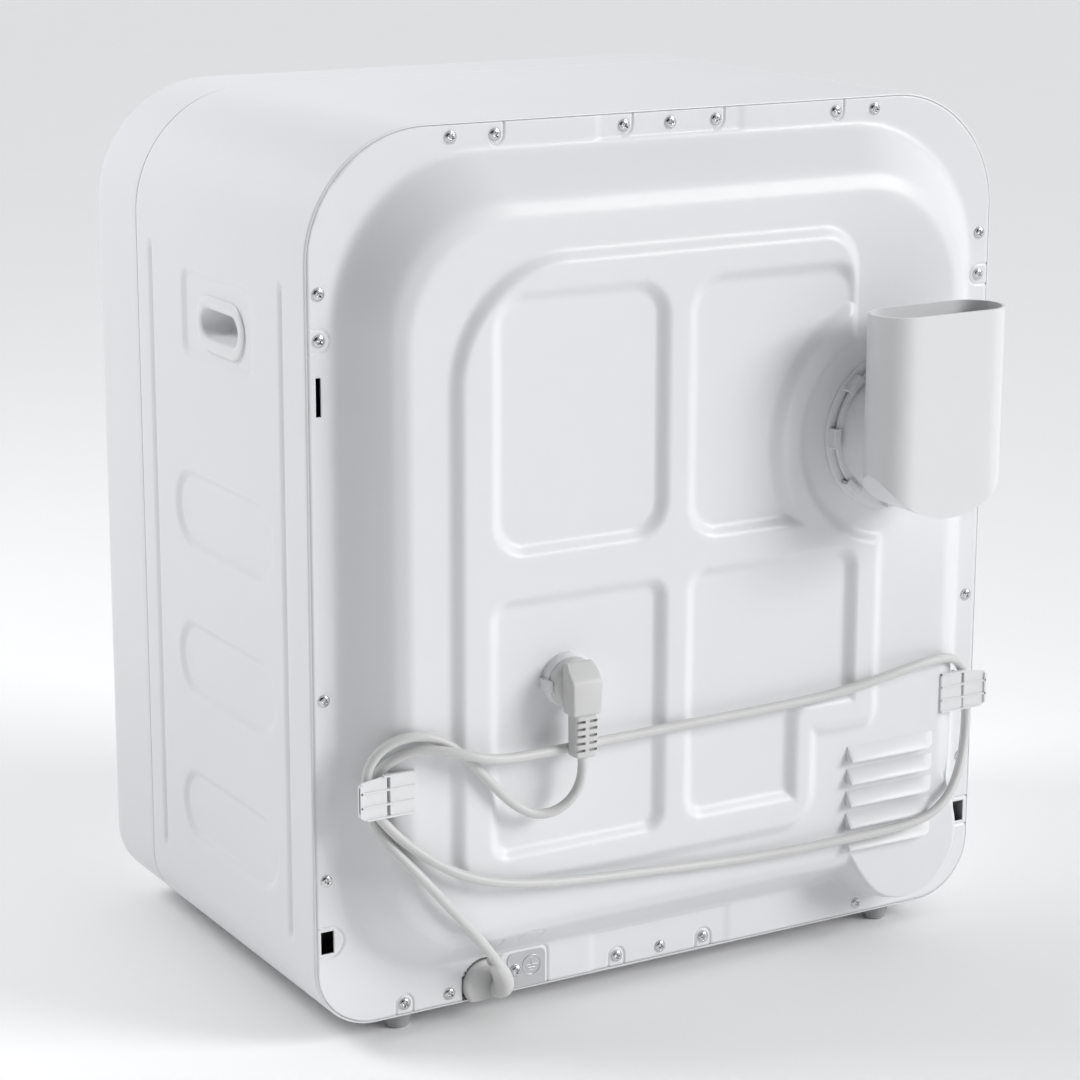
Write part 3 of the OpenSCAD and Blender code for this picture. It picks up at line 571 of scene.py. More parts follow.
# The slope's section: how high the dome stands at each run in from its foot.
PROFILE_RUN = np.arange(-12, 70, 0.5)
profile_raw = np.interp(PROFILE_RUN, [0, 28, 40, 60], [0, 32.5, DOME_RISE, DOME_RISE])
PROFILE_SOFTENING = 13
kernel = np.hanning(PROFILE_SOFTENING * 2 + 1)
padded = np.pad(profile_raw, PROFILE_SOFTENING, mode="edge")
profile_rise = np.convolve(padded, kernel / kernel.sum(), "valid")


def halve(shape, low, high, times, distance):
    """How far each point lies in from an outline that shrinks as distance(run) tells, by halving."""
    low, high = np.full(shape, low), np.full(shape, high)
    for _ in range(times):
        run = (low + high) / 2
        inside = distance(run) < 0
        low, high = np.where(inside, run, low), np.where(inside, high, run)
    return low


def dome_height(x, z):
    """The dome's height above its foot."""
    run_in = halve(x.shape, -12.0, 60.0, 14, lambda run: arch_distance(
        x, z, HALF_W - FLANGE_W - run, FLOOR_Z + 35 + run * 0.9, ROOF_Z - FLANGE_W - run * 1.1,
        115 - run * 0.7, 88 - run * 0.85))
    return np.interp(run_in, PROFILE_RUN, profile_rise)


# The lobe's foot and crest are circles: x, z and radius.
LOBE_FOOT = (-211, FLOOR_Z + 78, 65)
LOBE_CREST = (-208, FLOOR_Z + 73, 48)


def lobe_height(x, z):
    """The height of the lobe that carries the louvred corner further down."""
    share_in = halve(x.shape, -0.2, 1.2, 12, lambda share: disc_distance(
        x, z, *(foot + share * (crest - foot) for foot, crest in zip(LOBE_FOOT, LOBE_CREST))))
    return DOME_RISE * (0.25 * np.clip(share_in, 0, 1) + 0.75 * ease(share_in))


FIELD_RUN = 6.0
# The field's step carries on as a low ledge above the louvres.
LEDGE_Z = 195
LEDGE_X0, LEDGE_X1 = -172, -108


def field_distance(x, z):
    """Signed distance to the raised field, as a union of simple shapes."""
    x0, x1, z0, z1, step_x = -170, 202, FLOOR_Z + 105, FLOOR_Z + 570, -112
    parts = [box_distance(x, z, x0, x0 + 150, LEDGE_Z, 395, 8),
             box_distance(x, z, step_x, x1, z0, z0 + 260, 28),
             box_distance(x, z, -60, x1, z0 + 60, z1, 90),
             box_distance(x, z, -141, 60, 320, z1, 30)]
    field = np.minimum.reduce(parts)
    return np.maximum(field, -disc_distance(x, z, EXHAUST_X, EXHAUST_Z, 85))


def pocket_distance(x, z):
    """Signed distance to the four pockets pressed back into the field."""
    clear = disc_distance(x, z, EXHAUST_X, EXHAUST_Z, 108)
    step = box_distance(x, z, -175, -91, FLOOR_Z + 110, FLOOR_Z + 204, 12)
    return np.minimum.reduce([
        box_distance(x, z, 30, 170, FLOOR_Z + 358, FLOOR_Z + 544, 24),
        box_distance(x, z, 30, 172, FLOOR_Z + 129, FLOOR_Z + 320, 12),
        np.maximum(box_distance(x, z, -142, 4, FLOOR_Z + 352, FLOOR_Z + 544, 24), -clear),
        np.maximum(box_distance(x, z, -144, 4, FLOOR_Z + 132, FLOOR_Z + 322, 14), -step)])


def groove(distance, width, depth):
    """A small groove where distance is near zero."""
    return -depth * (1 - ease(np.abs(distance) / width))


def notch_distance(out, across, r):
    """Distance to a U about the origin, open towards out."""
    return np.where(out > 0, np.abs(np.abs(across) - r), np.abs(np.hypot(across, out) - r))


def flange_relief(x, z):
    """Joggles beside the middle screws, and grooves round the tabs, the slots and the earth plate."""
    middle = ease((66 - np.abs(x)) / 7)
    at_top = ease((z - (ROOF_Z - 24)) / 2)
    at_bottom = ease((FLOOR_Z + 34 - z) / 2)
    rise = -JOGGLE * middle * np.maximum(at_top, at_bottom)
    for sx in TOP_TAB_XS:
        dz = z - (ROOF_Z - EDGE)
        reach = np.hypot(x - sx, dz)
        hook = np.where((dz > 0) & (x < sx), np.abs(x - sx + 7), np.where(dz <= 0, np.abs(reach - 7), 99))
        rise += groove(np.where((dz <= 0) & (x > sx + 3), 99, hook), 1.3, 1.3)
    for sx in LOW_TAB_XS:
        rise += groove(notch_distance(FLOOR_Z + LOW_EDGE - z, x - sx, 7), 1.3, 1.3)
    rise += groove(box_distance(x, z, 103.5, 145, FLOOR_Z - 20, FLOOR_Z + 32, 5) - 1, 1.4, 1.4)
    for s in (-1, 1):
        rise += groove(notch_distance((x - s * (HALF_W - EDGE)) * s, z - SIDE_TAB_Z, 8), 1.2, 1.0)
        rise += groove(notch_distance((x - s * (SLOT_X - 1)) * s, z - SLOT_Z, 12), 1.3, 1.2)
    return rise


def panel_height(x, z):
    """The rear face of the pressed panel, in millimetres along Y."""
    dome = dome_height(x, z)
    lobe = lobe_height(x, z)
    blend = 0.01 + 26 * ease(np.minimum(dome, lobe) / 18)
    mix = np.clip(0.5 + (lobe - dome) / (2 * blend), 0, 1)
    base = dome * (1 - mix) + lobe * mix + blend * mix * (1 - mix)
    base = np.minimum(base, DOME_RISE)
    raised = ease(0.5 - field_distance(x, z) / (2 * FIELD_RUN))
    pressed = ease(0.5 - pocket_distance(x, z) / (2 * FIELD_RUN))
    base = base + FIELD_RISE * raised * (1 - pressed)
    ledge = np.exp(-((z - LEDGE_Z) / 5.0) ** 2) * ease((x - LEDGE_X0) / 12) * ease((LEDGE_X1 - x) / 14)
    base = base + FIELD_RISE * 0.45 * ledge * (1 - raised)
    # A stadium and a circle are stamped beside the earth plate.
    stamp = box_distance(x, z, 121, 141, 63, 74, 5.5)
    base = base + groove(stamp, 1.8, 0.9) + groove(disc_distance(x, z, 161.7, 65.2, 7), 1.8, 0.9)
    flat = ease(1 - base / 0.6)
    return REAR_Y - 0.2 + base + flange_relief(x, z) * flat


PANEL_INSET = 2.2
PANEL_T = 1.2


def panel_outline(x, z):
    return arch_distance(x, z, HALF_W - PANEL_INSET, FLOOR_Z + PANEL_INSET, ROOF_Z - PANEL_INSET,
                         TOP_R - PANEL_INSET, LOW_R - PANEL_INSET)


def hole_distance(x, z):
    """Signed distance to the panel's openings."""
    holes = [disc_distance(x, z, EXHAUST_X, EXHAUST_Z, SOCKET_R + 1)]
    for s in (-1, 1):
        holes.append(box_distance(x, z, s * SLOT_X - 5, s * SLOT_X + 5, SLOT_Z - 9, SLOT_Z + 9, 0.01))
        holes.append(box_distance(x, z, s * SLIT_X - 2, s * SLIT_X + 2, SLIT_Z0, SLIT_Z1, 0.01))
    for lz in LOUVRE_ZS:
        holes.append(box_distance(x, z, LOUVRE_X0 + 2, LOUVRE_X1 - 2, lz + 1.5, lz + 8, 0.01))
    return np.minimum.reduce(holes)


def grid_shape(xs, zs, keep):
    """A height-field mesh on a grid of x and z, with the faces that keep() drops left out."""
    gx, gz = np.meshgrid(xs, zs, indexing="ij")
    centre_x = (gx[:-1, :-1] + gx[1:, 1:]) / 2
    centre_z = (gz[:-1, :-1] + gz[1:, 1:]) / 2
    wanted = keep(centre_x, centre_z)
    index = np.arange(gx.size).reshape(gx.shape)
    corners = grid_faces(index)[wanted]
    used = np.unique(corners)
    again = np.full(gx.size, -1)
    again[used] = np.arange(len(used))
    x, z = gx.ravel()[used], gz.ravel()[used]
    # The grid's edge slides onto the outline, so that the corners are round.
    shared = np.bincount(again[corners].ravel(), minlength=len(used))
    near = (shared < 4) & (panel_outline(x, z) > -1.5 * COARSE)
    for _ in range(3):
        d = panel_outline(x, z)
        step = 0.01
        slope_x = (panel_outline(x + step, z) - d) / step
        slope_z = (panel_outline(x, z + step) - d) / step
        x = np.where(near, x - slope_x * d, x)
        z = np.where(near, z - slope_z * d, z)
    return np.column_stack([x, panel_height(x, z), z]), again[corners]


COARSE = 2.0
FINE = 0.8


def graded(low, high, windows):
    """Grid lines from low to high, finer inside the windows."""
    stops = sorted({low, high, *(w for pair in windows for w in pair if low < w < high)})
    lines = []
    for a, b in zip(stops, stops[1:]):
        pitch = FINE if any(w0 <= a and b <= w1 for w0, w1 in windows) else COARSE
        lines += list(np.linspace(a, b, max(1, round((b - a) / pitch)), endpoint=False))
    return np.array(lines + [high])


GLAND_X = 158
GLAND_Z = FLOOR_Z + 13


def keep_panel(x, z):
    gland = (np.abs(x - GLAND_X) < 20) & (z < GLAND_Z) | (np.hypot(x - GLAND_X, z - GLAND_Z) < 20)
    return (panel_outline(x, z) < -0.6) & (hole_distance(x, z) > 0) & ~gland


panel_xs = graded(-296, 296, [(x - 9, x + 9) for x in TOP_TAB_XS + LOW_TAB_XS]
                  + [(-296, -275), (275, 296), (98, 140)])
panel_zs = graded(FLOOR_Z + 2, ROOF_Z - 2, [(ROOF_Z - 22, ROOF_Z - 2), (FLOOR_Z + 2, FLOOR_Z + 36),
                                            (519, 547), (71, 101)])
rear_panel = piece("rear_panel_pressing", *grid_shape(panel_xs, panel_zs, keep_panel), "painted_steel",
                   stands_for=["rear_panel"], sharp=50)
sheet(rear_panel, PANEL_T)

# Each louvre is a hood with a closed left end, a tapered right end and an open lower edge.
LOUVRE_OUT = 7.8


def louvre_rings(lz, ends, profile):
    """The (y, z) profile at each (x, share) of ends, with y scaled by the share beyond the dome."""
    return loft([np.array([(x, DOME_Y + share * out + back, lz + z) for out, back, z in profile])
                 for x, share in ends])


hood_ends = [(LOUVRE_X0 - 3, 0.03), (LOUVRE_X0, 0.35), (LOUVRE_X0 + 4, 0.8), (LOUVRE_X0 + 8, 1),
             (LOUVRE_X1 - 2.5, 1), (LOUVRE_X1 - 0.8, 0.96), (LOUVRE_X1, 0.8), (LOUVRE_X1 + 0.4, 0.02)]
hood_profile = [(LOUVRE_OUT * out, back, z) for out, back, z in
                [(0, -0.5, 12.5), (0.05, 0, 12), (0.9, 0, 3.4), (1, 0, 2.2), (1, 0, 1.2), (0.92, 0, 0.6),
                 (0.8, 0, 0.6), (0.75, 0, 2.6), (0, -0.5, 10.6)]]
wall_ends = [(LOUVRE_X1 - 1.4, 1), (LOUVRE_X1, 1)]
wall_profile = [(0, -0.5, 12), (7.4, 0, 2.6), (7.4, 0, 0.8), (0, -0.5, 0.8)]
hoods = []
for lz in LOUVRE_ZS:
    hoods += [louvre_rings(lz, hood_ends, hood_profile), louvre_rings(lz, wall_ends, wall_profile)]
piece("louvre_hoods", *join_shapes(*hoods), "painted_steel", sharp=40)

# -------- screws

SCREW_R = 5.2
CROSS_ARM, CROSS_SLOT, CROSS_DEPTH = 0.46, 0.11, 1.7


def screw_shape(x, z, y, turned):
    """A pan head with a cross recess and a flanged rim, drawn on a square grid mapped to a disc."""
    n = 30
    u, v = np.meshgrid(np.linspace(-1, 1, n + 1), np.linspace(-1, 1, n + 1), indexing="ij")
    px, pz = u * np.sqrt(1 - v * v / 2), v * np.sqrt(1 - u * u / 2)
    r = np.hypot(px, pz)
    head = np.where(r < 0.82, 0.7 + 2.0 * np.sqrt(np.clip(1 - (r / 0.86) ** 2, 0, 1)) ** 0.8, 0.6)
    a, b = px * math.cos(turned) - pz * math.sin(turned), px * math.sin(turned) + pz * math.cos(turned)
    cross = np.minimum(*(np.maximum(np.abs(p) - CROSS_SLOT, np.abs(q) - CROSS_ARM)
                         for p, q in ((a, b), (b, a))))
    head = head - CROSS_DEPTH * ease(0.5 - cross / 0.08) * ease(1.2 - r * 1.6)
    index = np.arange(u.size).reshape(u.shape)
    faces = grid_faces(index).reshape(-1, 4).tolist()
    points = np.column_stack([x + SCREW_R * px.ravel(), y + head.ravel(), z + SCREW_R * pz.ravel()])
    rim = np.concatenate([index[:, 0], index[-1, 1:], index[-2::-1, -1], index[0, -2:0:-1]])
    base = points[rim].copy()
    base[:, 1] = y - 0.3
    start = len(points)
    m = len(rim)
    faces += [[rim[k], rim[(k + 1) % m], start + (k + 1) % m, start + k] for k in range(m)]
    faces.append([start + k for k in range(m)])
    return np.vstack([points, base]), faces


screw_turns = np.random.default_rng(4).uniform(0, math.pi / 2, len(SCREWS))
screws = [screw_shape(x, z, REAR_Y - 0.6 - (JOGGLE if abs(x) < 60 else 0), t)
          for (x, z), t in zip(SCREWS, screw_turns)]
shank_profile = from_y(REAR_Y, [(0, -9), (1.2, -9), (2, -7), (2, -0.7), (0, -0.7)])
shanks = [lathe(x, z, shank_profile, 16) for x, z in SCREWS]
piece("rear_screw_set", *join_shapes(*screws, *shanks), "chrome", stands_for=["rear_screws"], sharp=50)

# -------- cabinet wrap

GRIP_Y, GRIP_Z, GRIP_L, GRIP_H = 5, 520, 83, 42
WRAP_T = 0.9
WRAP_EDGE_R = 1.8


def outline_path(side_step=2.5, flat_step=8.0, arc_step=5.0):
    """Points round the cabinet's outline from the middle of the floor, with a unit normal at each."""
    half, z0, z1 = HALF_W, FLOOR_Z, ROOF_Z
    places, normals = [], []

    def straight(a, b, normal, step):
        count = max(2, int(math.dist(a, b) / step))
        for t in np.arange(count) / count:
            places.append((a[0] + (b[0] - a[0]) * t, a[1] + (b[1] - a[1]) * t))
            normals.append(normal)

    def arc(cx, cz, r, start):
        count = int(r * math.pi / 2 / arc_step)
        for t in np.arange(count) / count:
            a = math.radians(start + 90 * t)
            places.append((cx + r * math.cos(a), cz + r * math.sin(a)))
            normals.append((math.cos(a), math.sin(a)))

    straight((0, z0), (half - LOW_R, z0), (0, -1), flat_step)
    arc(half - LOW_R, z0 + LOW_R, LOW_R, 270)
    straight((half, z0 + LOW_R), (half, z1 - TOP_R), (1, 0), side_step)
    arc(half - TOP_R, z1 - TOP_R, TOP_R, 0)
    straight((half - TOP_R, z1), (-half + TOP_R, z1), (0, 1), flat_step)
    arc(-half + TOP_R, z1 - TOP_R, TOP_R, 90)
    straight((-half, z1 - TOP_R), (-half, z0 + LOW_R), (-1, 0), side_step)
    arc(-half + LOW_R, z0 + LOW_R, LOW_R, 180)
    straight((-half + LOW_R, z0), (0, z0), (0, -1), flat_step)
    return np.array(places), np.array(normals)


def side_relief(y, z):
    """How far the side panels are pressed in, in millimetres, negative inwards."""
    rise = np.zeros(y.shape)
    for gy in (-119, 111):
        line = np.hypot(y - gy, np.maximum(np.maximum(82 - z, z - 566), 0))
        rise += groove(line, 4.2, 2.3)
    for z0, z1 in ((344, 399), (225, 279), (105, 158)):
        rise -= 2.6 * ease(0.5 - box_distance(y, z, -79, 90, z0, z1, 27) / 5)
    rise -= 2.4 * ease(0.5 - box_distance(y, z, -59, 61, 493, 555, 9) / 5)
    return rise


wrap_path, wrap_normals = outline_path()
wrap_rings = [outline_ring(wrap_path - wrap_normals * 1.2, SEAM_Y),
              outline_ring(wrap_path - wrap_normals * 0.3, SEAM_Y + 0.5)]
on_side = np.abs(wrap_normals[:, 0]) > 0.999
for y in np.arange(SEAM_Y + 2.5, REAR_Y - 2.4, 2.5):
    rise = np.where(on_side, side_relief(np.full(len(wrap_path), y), wrap_path[:, 1]), 0)
    wrap_rings.append(outline_ring(wrap_path + wrap_normals * rise[:, None], y))
for a in np.radians(np.linspace(0, 90, 6)):
    wrap_rings.append(outline_ring(wrap_path - wrap_normals * (WRAP_EDGE_R * (1 - math.cos(a))),
                                   REAR_Y - WRAP_EDGE_R + WRAP_EDGE_R * math.sin(a)))
for inset, back in ((1.9, 3.2), (3.5, 3.3)):
    wrap_rings.append(outline_ring(wrap_path - wrap_normals * inset, REAR_Y - back))
wrap_points, wrap_faces = loft(wrap_rings, caps=False)
centres = wrap_points[np.array(wrap_faces)].mean(1)
half_y, half_z = GRIP_L / 2 - 3, GRIP_H / 2 - 3
in_grip = (np.abs(centres[:, 0]) > 250) & (box_distance(
    centres[:, 1], centres[:, 2], GRIP_Y - half_y, GRIP_Y + half_y, GRIP_Z - half_z, GRIP_Z + half_z, 18) < 0)
wrap_faces = [f for f, cut in zip(wrap_faces, in_grip) if not cut]
cabinet_wrap = piece("cabinet_wrap_sheet", wrap_points, wrap_faces, "painted_steel",
                     stands_for=["cabinet_wrap"], sharp=40)
sheet(cabinet_wrap, WRAP_T)

# -------- side grips


def stadium(cy, cz, length, height, steps=14):
    """A stadium in Y and Z, as (y, z) points."""
    shape = []
    for s, start in ((1, -90), (-1, 90)):
        for t in np.linspace(0, 180, steps + 1):
            a = math.radians(start + t)
            shape.append((cy + s * (length - height) / 2 + height / 2 * math.cos(a),
                          cz + height / 2 * math.sin(a)))
    return np.array(shape)


def grip_shape(side):
    """A lipped stadium cup that opens to the outside."""
    rings = []
    for depth, grow in [(26, -10), (26, 0), (2.6, 0), (2.2, 0.0), (1.2, 0.2), (0.5, -0.6), (0.1, -2.2),
                        (0.1, -6.5), (0.6, -8.6), (1.8, -9.6), (4, -10), (22, -11.5), (23.6, -13), (24, -16)]:
        ring_2d = stadium(GRIP_Y, GRIP_Z, GRIP_L + 2 * grow, GRIP_H + 2 * grow)
        rings.append(np.column_stack([np.full(len(ring_2d), side * (HALF_W - depth)), ring_2d]))
    return loft(rings)


for side, node in ((1, "side_grip_left"), (-1, "side_grip_right")):
    piece(node + "_cup", *grip_shape(side), "white_plastic", stands_for=[node], sharp=50)

# -------- front shell

MOUTH_R = 163.2
DOOR_Z = 350
FRONT_DEPTH_R, FRONT_SIDE_R = 14, 13
CATCH_X = -184
SWITCH_X, SWITCH_Z = -173, 287
shell_path, shell_normals = outline_path(6, 8, 5)


def shell_ring(inset, y):
    """The cabinet's outline, moved in by inset, at one y."""
    return outline_ring(shell_path - shell_normals * inset, y)


shell_rings = [shell_ring(3.0, SEAM_Y + 0.2), shell_ring(1.4, SEAM_Y - 0.2), shell_ring(0.3, SEAM_Y - 0.8),
               shell_ring(0, SEAM_Y - 2.2)]
shell_rings += [shell_ring(0, y) for y in np.linspace(SEAM_Y - 10, FRONT_Y + FRONT_DEPTH_R, 7)]
shell_rings += [shell_ring(FRONT_SIDE_R * (1 - math.cos(a)), FRONT_Y + FRONT_DEPTH_R * (1 - math.sin(a)))
                for a in np.radians(np.linspace(8, 90, 11))]
rim = shell_path - shell_normals * FRONT_SIDE_R
bearing = np.unwrap(np.arctan2(rim[:, 1] - DOOR_Z, rim[:, 0]))


def mouth_outline(r):
    """A circle about the door's middle, with its points on the rim's bearings."""
    return np.column_stack([r * np.cos(bearing), DOOR_Z + r * np.sin(bearing)])


mouth = mouth_outline(MOUTH_R + 1.5)
shell_rings += [outline_ring(rim + (mouth - rim) * t, FRONT_Y) for t in np.linspace(0.06, 1, 16)]
shell_rings += [outline_ring(mouth_outline(MOUTH_R), FRONT_Y + y) for y in (0.8, 3)]
shell_rings += [outline_ring(rim, FRONT_Y + 3), shell_ring(3, FRONT_Y + FRONT_DEPTH_R),
                shell_ring(3, SEAM_Y + 0.2)]
front_shell = piece("front_shell_moulding", *loft(shell_rings, caps=False), "front_shell",
                    stands_for=["front_panel"], sharp=40)
for cutter in (box(CATCH_X - 12, CATCH_X + 12, FRONT_Y - 3, FRONT_Y + 6, DOOR_Z - 14, DOOR_Z + 14),
               rod(SWITCH_X, SWITCH_Z, 3, FRONT_Y - 3, FRONT_Y + 6, 24)):
    combine(front_shell, cutter, "DIFFERENCE")

# -------- door

DOOR_Y = FRONT_Y - 4
GLASS_R = 147.7


def door_piece(name, profile, steps, slot, node, sharp, closed=True):
    """A turned piece about the door's middle that swings with the door."""
    piece(name, *lathe(0, DOOR_Z, profile, steps, closed=closed), slot, "door", [node], sharp=sharp)


def glass_face(front, bulge, radii):
    """The glass's face as (radius, y) points: a shallow bowl."""
    return [(r, DOOR_Y - front + bulge * (r / GLASS_R) ** 2.2) for r in radii]


door_piece("door_ring_moulding", from_y(DOOR_Y, [
    (148.2, -0.2), (148.2, -19.6), (149.2, -21.4), (152, -23.6), (157, -25.4), (164, -26.4), (170, -26.7),
    (177, -26.4), (184, -25.2), (190, -23.6), (195.5, -21.6), (199.5, -18.6), (202.6, -14.4), (204.4, -9),
    (204.6, -3), (203.9, -0.9), (202.8, -0.2), (190, 0)]), 160, "white_plastic", "door_ring", 40)
radii = np.linspace(0, GLASS_R, 26)
door_piece("door_glass", glass_face(25.8, 8.6, radii) + glass_face(22.2, 8.8, radii[::-1]), 160,
           "window_glass", "door_window", 60, closed=False)
door_piece("door_liner_bowl", from_y(DOOR_Y, [
    (112, -12.5), (GLASS_R, -12.5), (GLASS_R, 0), (151.6, 0.2), (152, 1), (151.6, 8), (147, 22), (143, 32),
    (140, 36.4), (136, 38), (131, 38), (128.6, 37), (128, 35), (130, 31), (135, 20), (138.6, 6), (139, -7.5),
    (137.5, -9), (112.5, -9)]), 128, "grey_plastic", "door_liner", 45)

# The bail handle: one bar that curves down onto the ring at both ends.
handle_half = [(-204, -12, -49), (-213, -19, -46.5), (-215.5, -22.5, -42), (-216, -24, -30)]
handle_route = handle_half + [(-216, -24, 0)] + [(x, y, -z) for x, y, z in reversed(handle_half)]
handle_line = spline_points(np.array([(x, DOOR_Y + y, z) for x, y, z in handle_route]) + [0, 0, DOOR_Z], 6)
handle = sweep(handle_line, [(5.6, 4.2)] * len(handle_line), (0.3, -1, 0), 24)
piece("door_handle_bail", *handle, "white_plastic", "door", ["door_handle"], sharp=50)

# -------- controls

KNOB_X, BUTTON_X, CONTROL_Z = 165, 85, 628
LENS_XS = (20, -10)
FASCIA_T = 3
fascia_shape = rounded_outline(-235, 235, CONTROL_Z - 30, CONTROL_Z + 30, [12] * 4)


def inset_outline(shape, by):
    """A rounded outline whose edges are moved in by a small amount."""
    low, high = shape.min(0), shape.max(0)
    middle, half = (low + high) / 2, (high - low) / 2
    return middle + (shape - middle) * (half - by) / half


fascia_y = FRONT_Y - FASCIA_T
fascia = piece("control_fascia_plate", *loft([
    outline_ring(fascia_shape, FRONT_Y), outline_ring(fascia_shape, fascia_y + 0.9),
    outline_ring(inset_outline(fascia_shape, 0.4), fascia_y + 0.3),
    outline_ring(inset_outline(fascia_shape, 1.2), fascia_y)]),
               "grey_plastic", stands_for=["control_fascia"], sharp=50)
for x, r in ((KNOB_X, 5.2), (BUTTON_X, 11.6), *((x, 3.3) for x in LENS_XS)):
    combine(fascia, rod(x, CONTROL_Z, r, fascia_y - 2, FRONT_Y + 2, 48), "DIFFERENCE")

# A dial of ticks, without those that would run off the fascia.
TICK_R, TICK_HALF = 30.6, 0.35
ticks = []
for i in range(13):
    a = math.radians(-150 + 25 * i)
    c, s = math.cos(a), math.sin(a)
    end = TICK_R + (3.6 if i % 3 == 0 else 2.2)
    corners = np.array([(r * 0.84, w) for r, w in ((TICK_R, -TICK_HALF), (end, -TICK_HALF), (end, TICK_HALF),
                                                   (TICK_R, TICK_HALF))])
    shape = np.column_stack([KNOB_X + corners[:, 0] * s + corners[:, 1] * c,
                             CONTROL_Z + corners[:, 0] * c - corners[:, 1] * s])
    if np.abs(shape[:, 1] - CONTROL_Z).max() < 29:
        ticks.append(slab(shape, fascia_y - 0.15, fascia_y + 0.3))
piece("dial_ticks", *join_shapes(*ticks), "white_plastic")

knob_back = FRONT_Y - 3.5
KNOB_FLUTES = 36


def knob_ring(radius, y, depth):
    """A ring about the knob's axis with flutes of some depth."""
    a = np.arange(KNOB_FLUTES * 6) * 2 * math.pi / (KNOB_FLUTES * 6)
    r = radius - depth * (0.5 - 0.5 * np.cos(a * KNOB_FLUTES)) ** 2
    return np.column_stack([KNOB_X + r * np.cos(a), np.full(len(a), y), CONTROL_Z + r * np.sin(a)])


knob_rings = [knob_ring(3, FRONT_Y + 20, 0)] + [knob_ring(r, knob_back - y, depth) for r, y, depth in [
    (3, 0.2, 0), (27.4, 0, 0), (27.9, 0.8, 0), (27.6, 2, 0), (26, 3, 0.4), (25.2, 8, 1.0), (24.2, 17, 1.0),
    (23.2, 19.6, 0.7), (21.5, 21.2, 0.2), (19.4, 21.9, 0), (12, 21.6, 0), (1, 21.4, 0)]]
knob_mark = box(KNOB_X - 1.2, KNOB_X + 1.2, knob_back - 22.6, knob_back - 21, CONTROL_Z + 5, CONTROL_Z + 19)
piece("timer_knob_moulding", *loft(knob_rings), "white_plastic", "timer_dial", ["timer_knob"], sharp=40)
piece("timer_knob_mark", *knob_mark, "grey_plastic", "timer_dial", bevel=0.3)
button_profile = from_y(FRONT_Y, [(0, -6.6), (7, -6.7), (9.6, -6.9), (10.5, -6.4), (11, -5.2), (11, 3.6),
                                  (13, 3.6), (13, 4.8), (4, 4.8), (4, 11), (0, 11)])
piece("start_button_cap", *lathe(BUTTON_X, CONTROL_Z, button_profile, 64), "white_plastic", "start_key",
      ["start_button"])
lens_profile = from_y(FRONT_Y, [(0, -3.6), (1.6, -3.5), (2.6, -3.1), (3, -2.4), (3, 3), (0, 3)])
lenses = [lathe(x, CONTROL_Z, lens_profile, 32) for x in LENS_XS]
piece("indicator_lens_pair", *join_shapes(*lenses), "amber_lens", stands_for=["indicator_lenses"])

# -------- exhaust

ELBOW_Y0, ELBOW_Y1 = DOME_Y + 28, DOME_Y + 76
ELBOW_W, ELBOW_TOP = 116, EXHAUST_Z + 102
ARC_R, ARC_Z = 66, EXHAUST_Z + 12


def elbow_solid(inset, top):
    """The deflector's body: a slot tube whose lower end is cut round about an axis along Y."""
    half, end_r = ELBOW_W / 2 - inset, (ELBOW_Y1 - ELBOW_Y0) / 2 - inset
    flat, mid_y, radius = ELBOW_W / 2 - (ELBOW_Y1 - ELBOW_Y0) / 2, (ELBOW_Y0 + ELBOW_Y1) / 2, ARC_R - inset
    tilt = np.radians(np.linspace(0.3, 90, 44))
    heights = [ARC_Z - radius * math.cos(a) for a in tilt if radius * math.sin(a) < half]
    last_low = ARC_Z - math.sqrt(radius ** 2 - half ** 2)
    heights += list(np.linspace(last_low, top, 10))
    rings = []
    for z in heights:
        w = half if z >= last_low else math.sqrt(max(radius ** 2 - (z - ARC_Z) ** 2, 0.01))
        x = w * np.sin(np.radians(np.linspace(-90, 90, 41)))
        out = np.sqrt(np.clip(end_r ** 2 - np.clip(np.abs(x) - flat, 0, end_r) ** 2, 0, None))
        wall = np.linspace(1, -1, 7)[1:-1] * out[-1]
        ring_x = np.concatenate([x, np.full(5, w), x[::-1], np.full(5, -w)])
        ring_y = np.concatenate([mid_y + out, mid_y + wall, mid_y - out[::-1], mid_y - wall])
        rings.append(np.column_stack([EXHAUST_X + ring_x, ring_y, np.full(len(ring_x), z)]))
    return loft(rings)


elbow = piece("exhaust_elbow_moulding", *elbow_solid(0, ELBOW_TOP), "white_plastic", "vent_elbow",
              ["exhaust_elbow"])
socket_profile = [(0, DOME_Y + 3.4)] + [(SOCKET_R + r, DOME_Y + y) for r, y in [
    (4.1, 3.4), (4.5, 3.9), (4.5, 6.2), (4.1, 6.6), (0, 6.6)]]
socket_profile += [(SOCKET_R - 0.8, ELBOW_Y0 + 14), (0, ELBOW_Y0 + 14)]
combine(elbow, lathe(EXHAUST_X, EXHAUST_Z, socket_profile, 128), "UNION")
combine(elbow, elbow_solid(2.2, ELBOW_TOP + 2), "DIFFERENCE")
combine(elbow, rod(EXHAUST_X, EXHAUST_Z, SOCKET_R - 3, DOME_Y, (ELBOW_Y0 + ELBOW_Y1) / 2, 128), "DIFFERENCE")

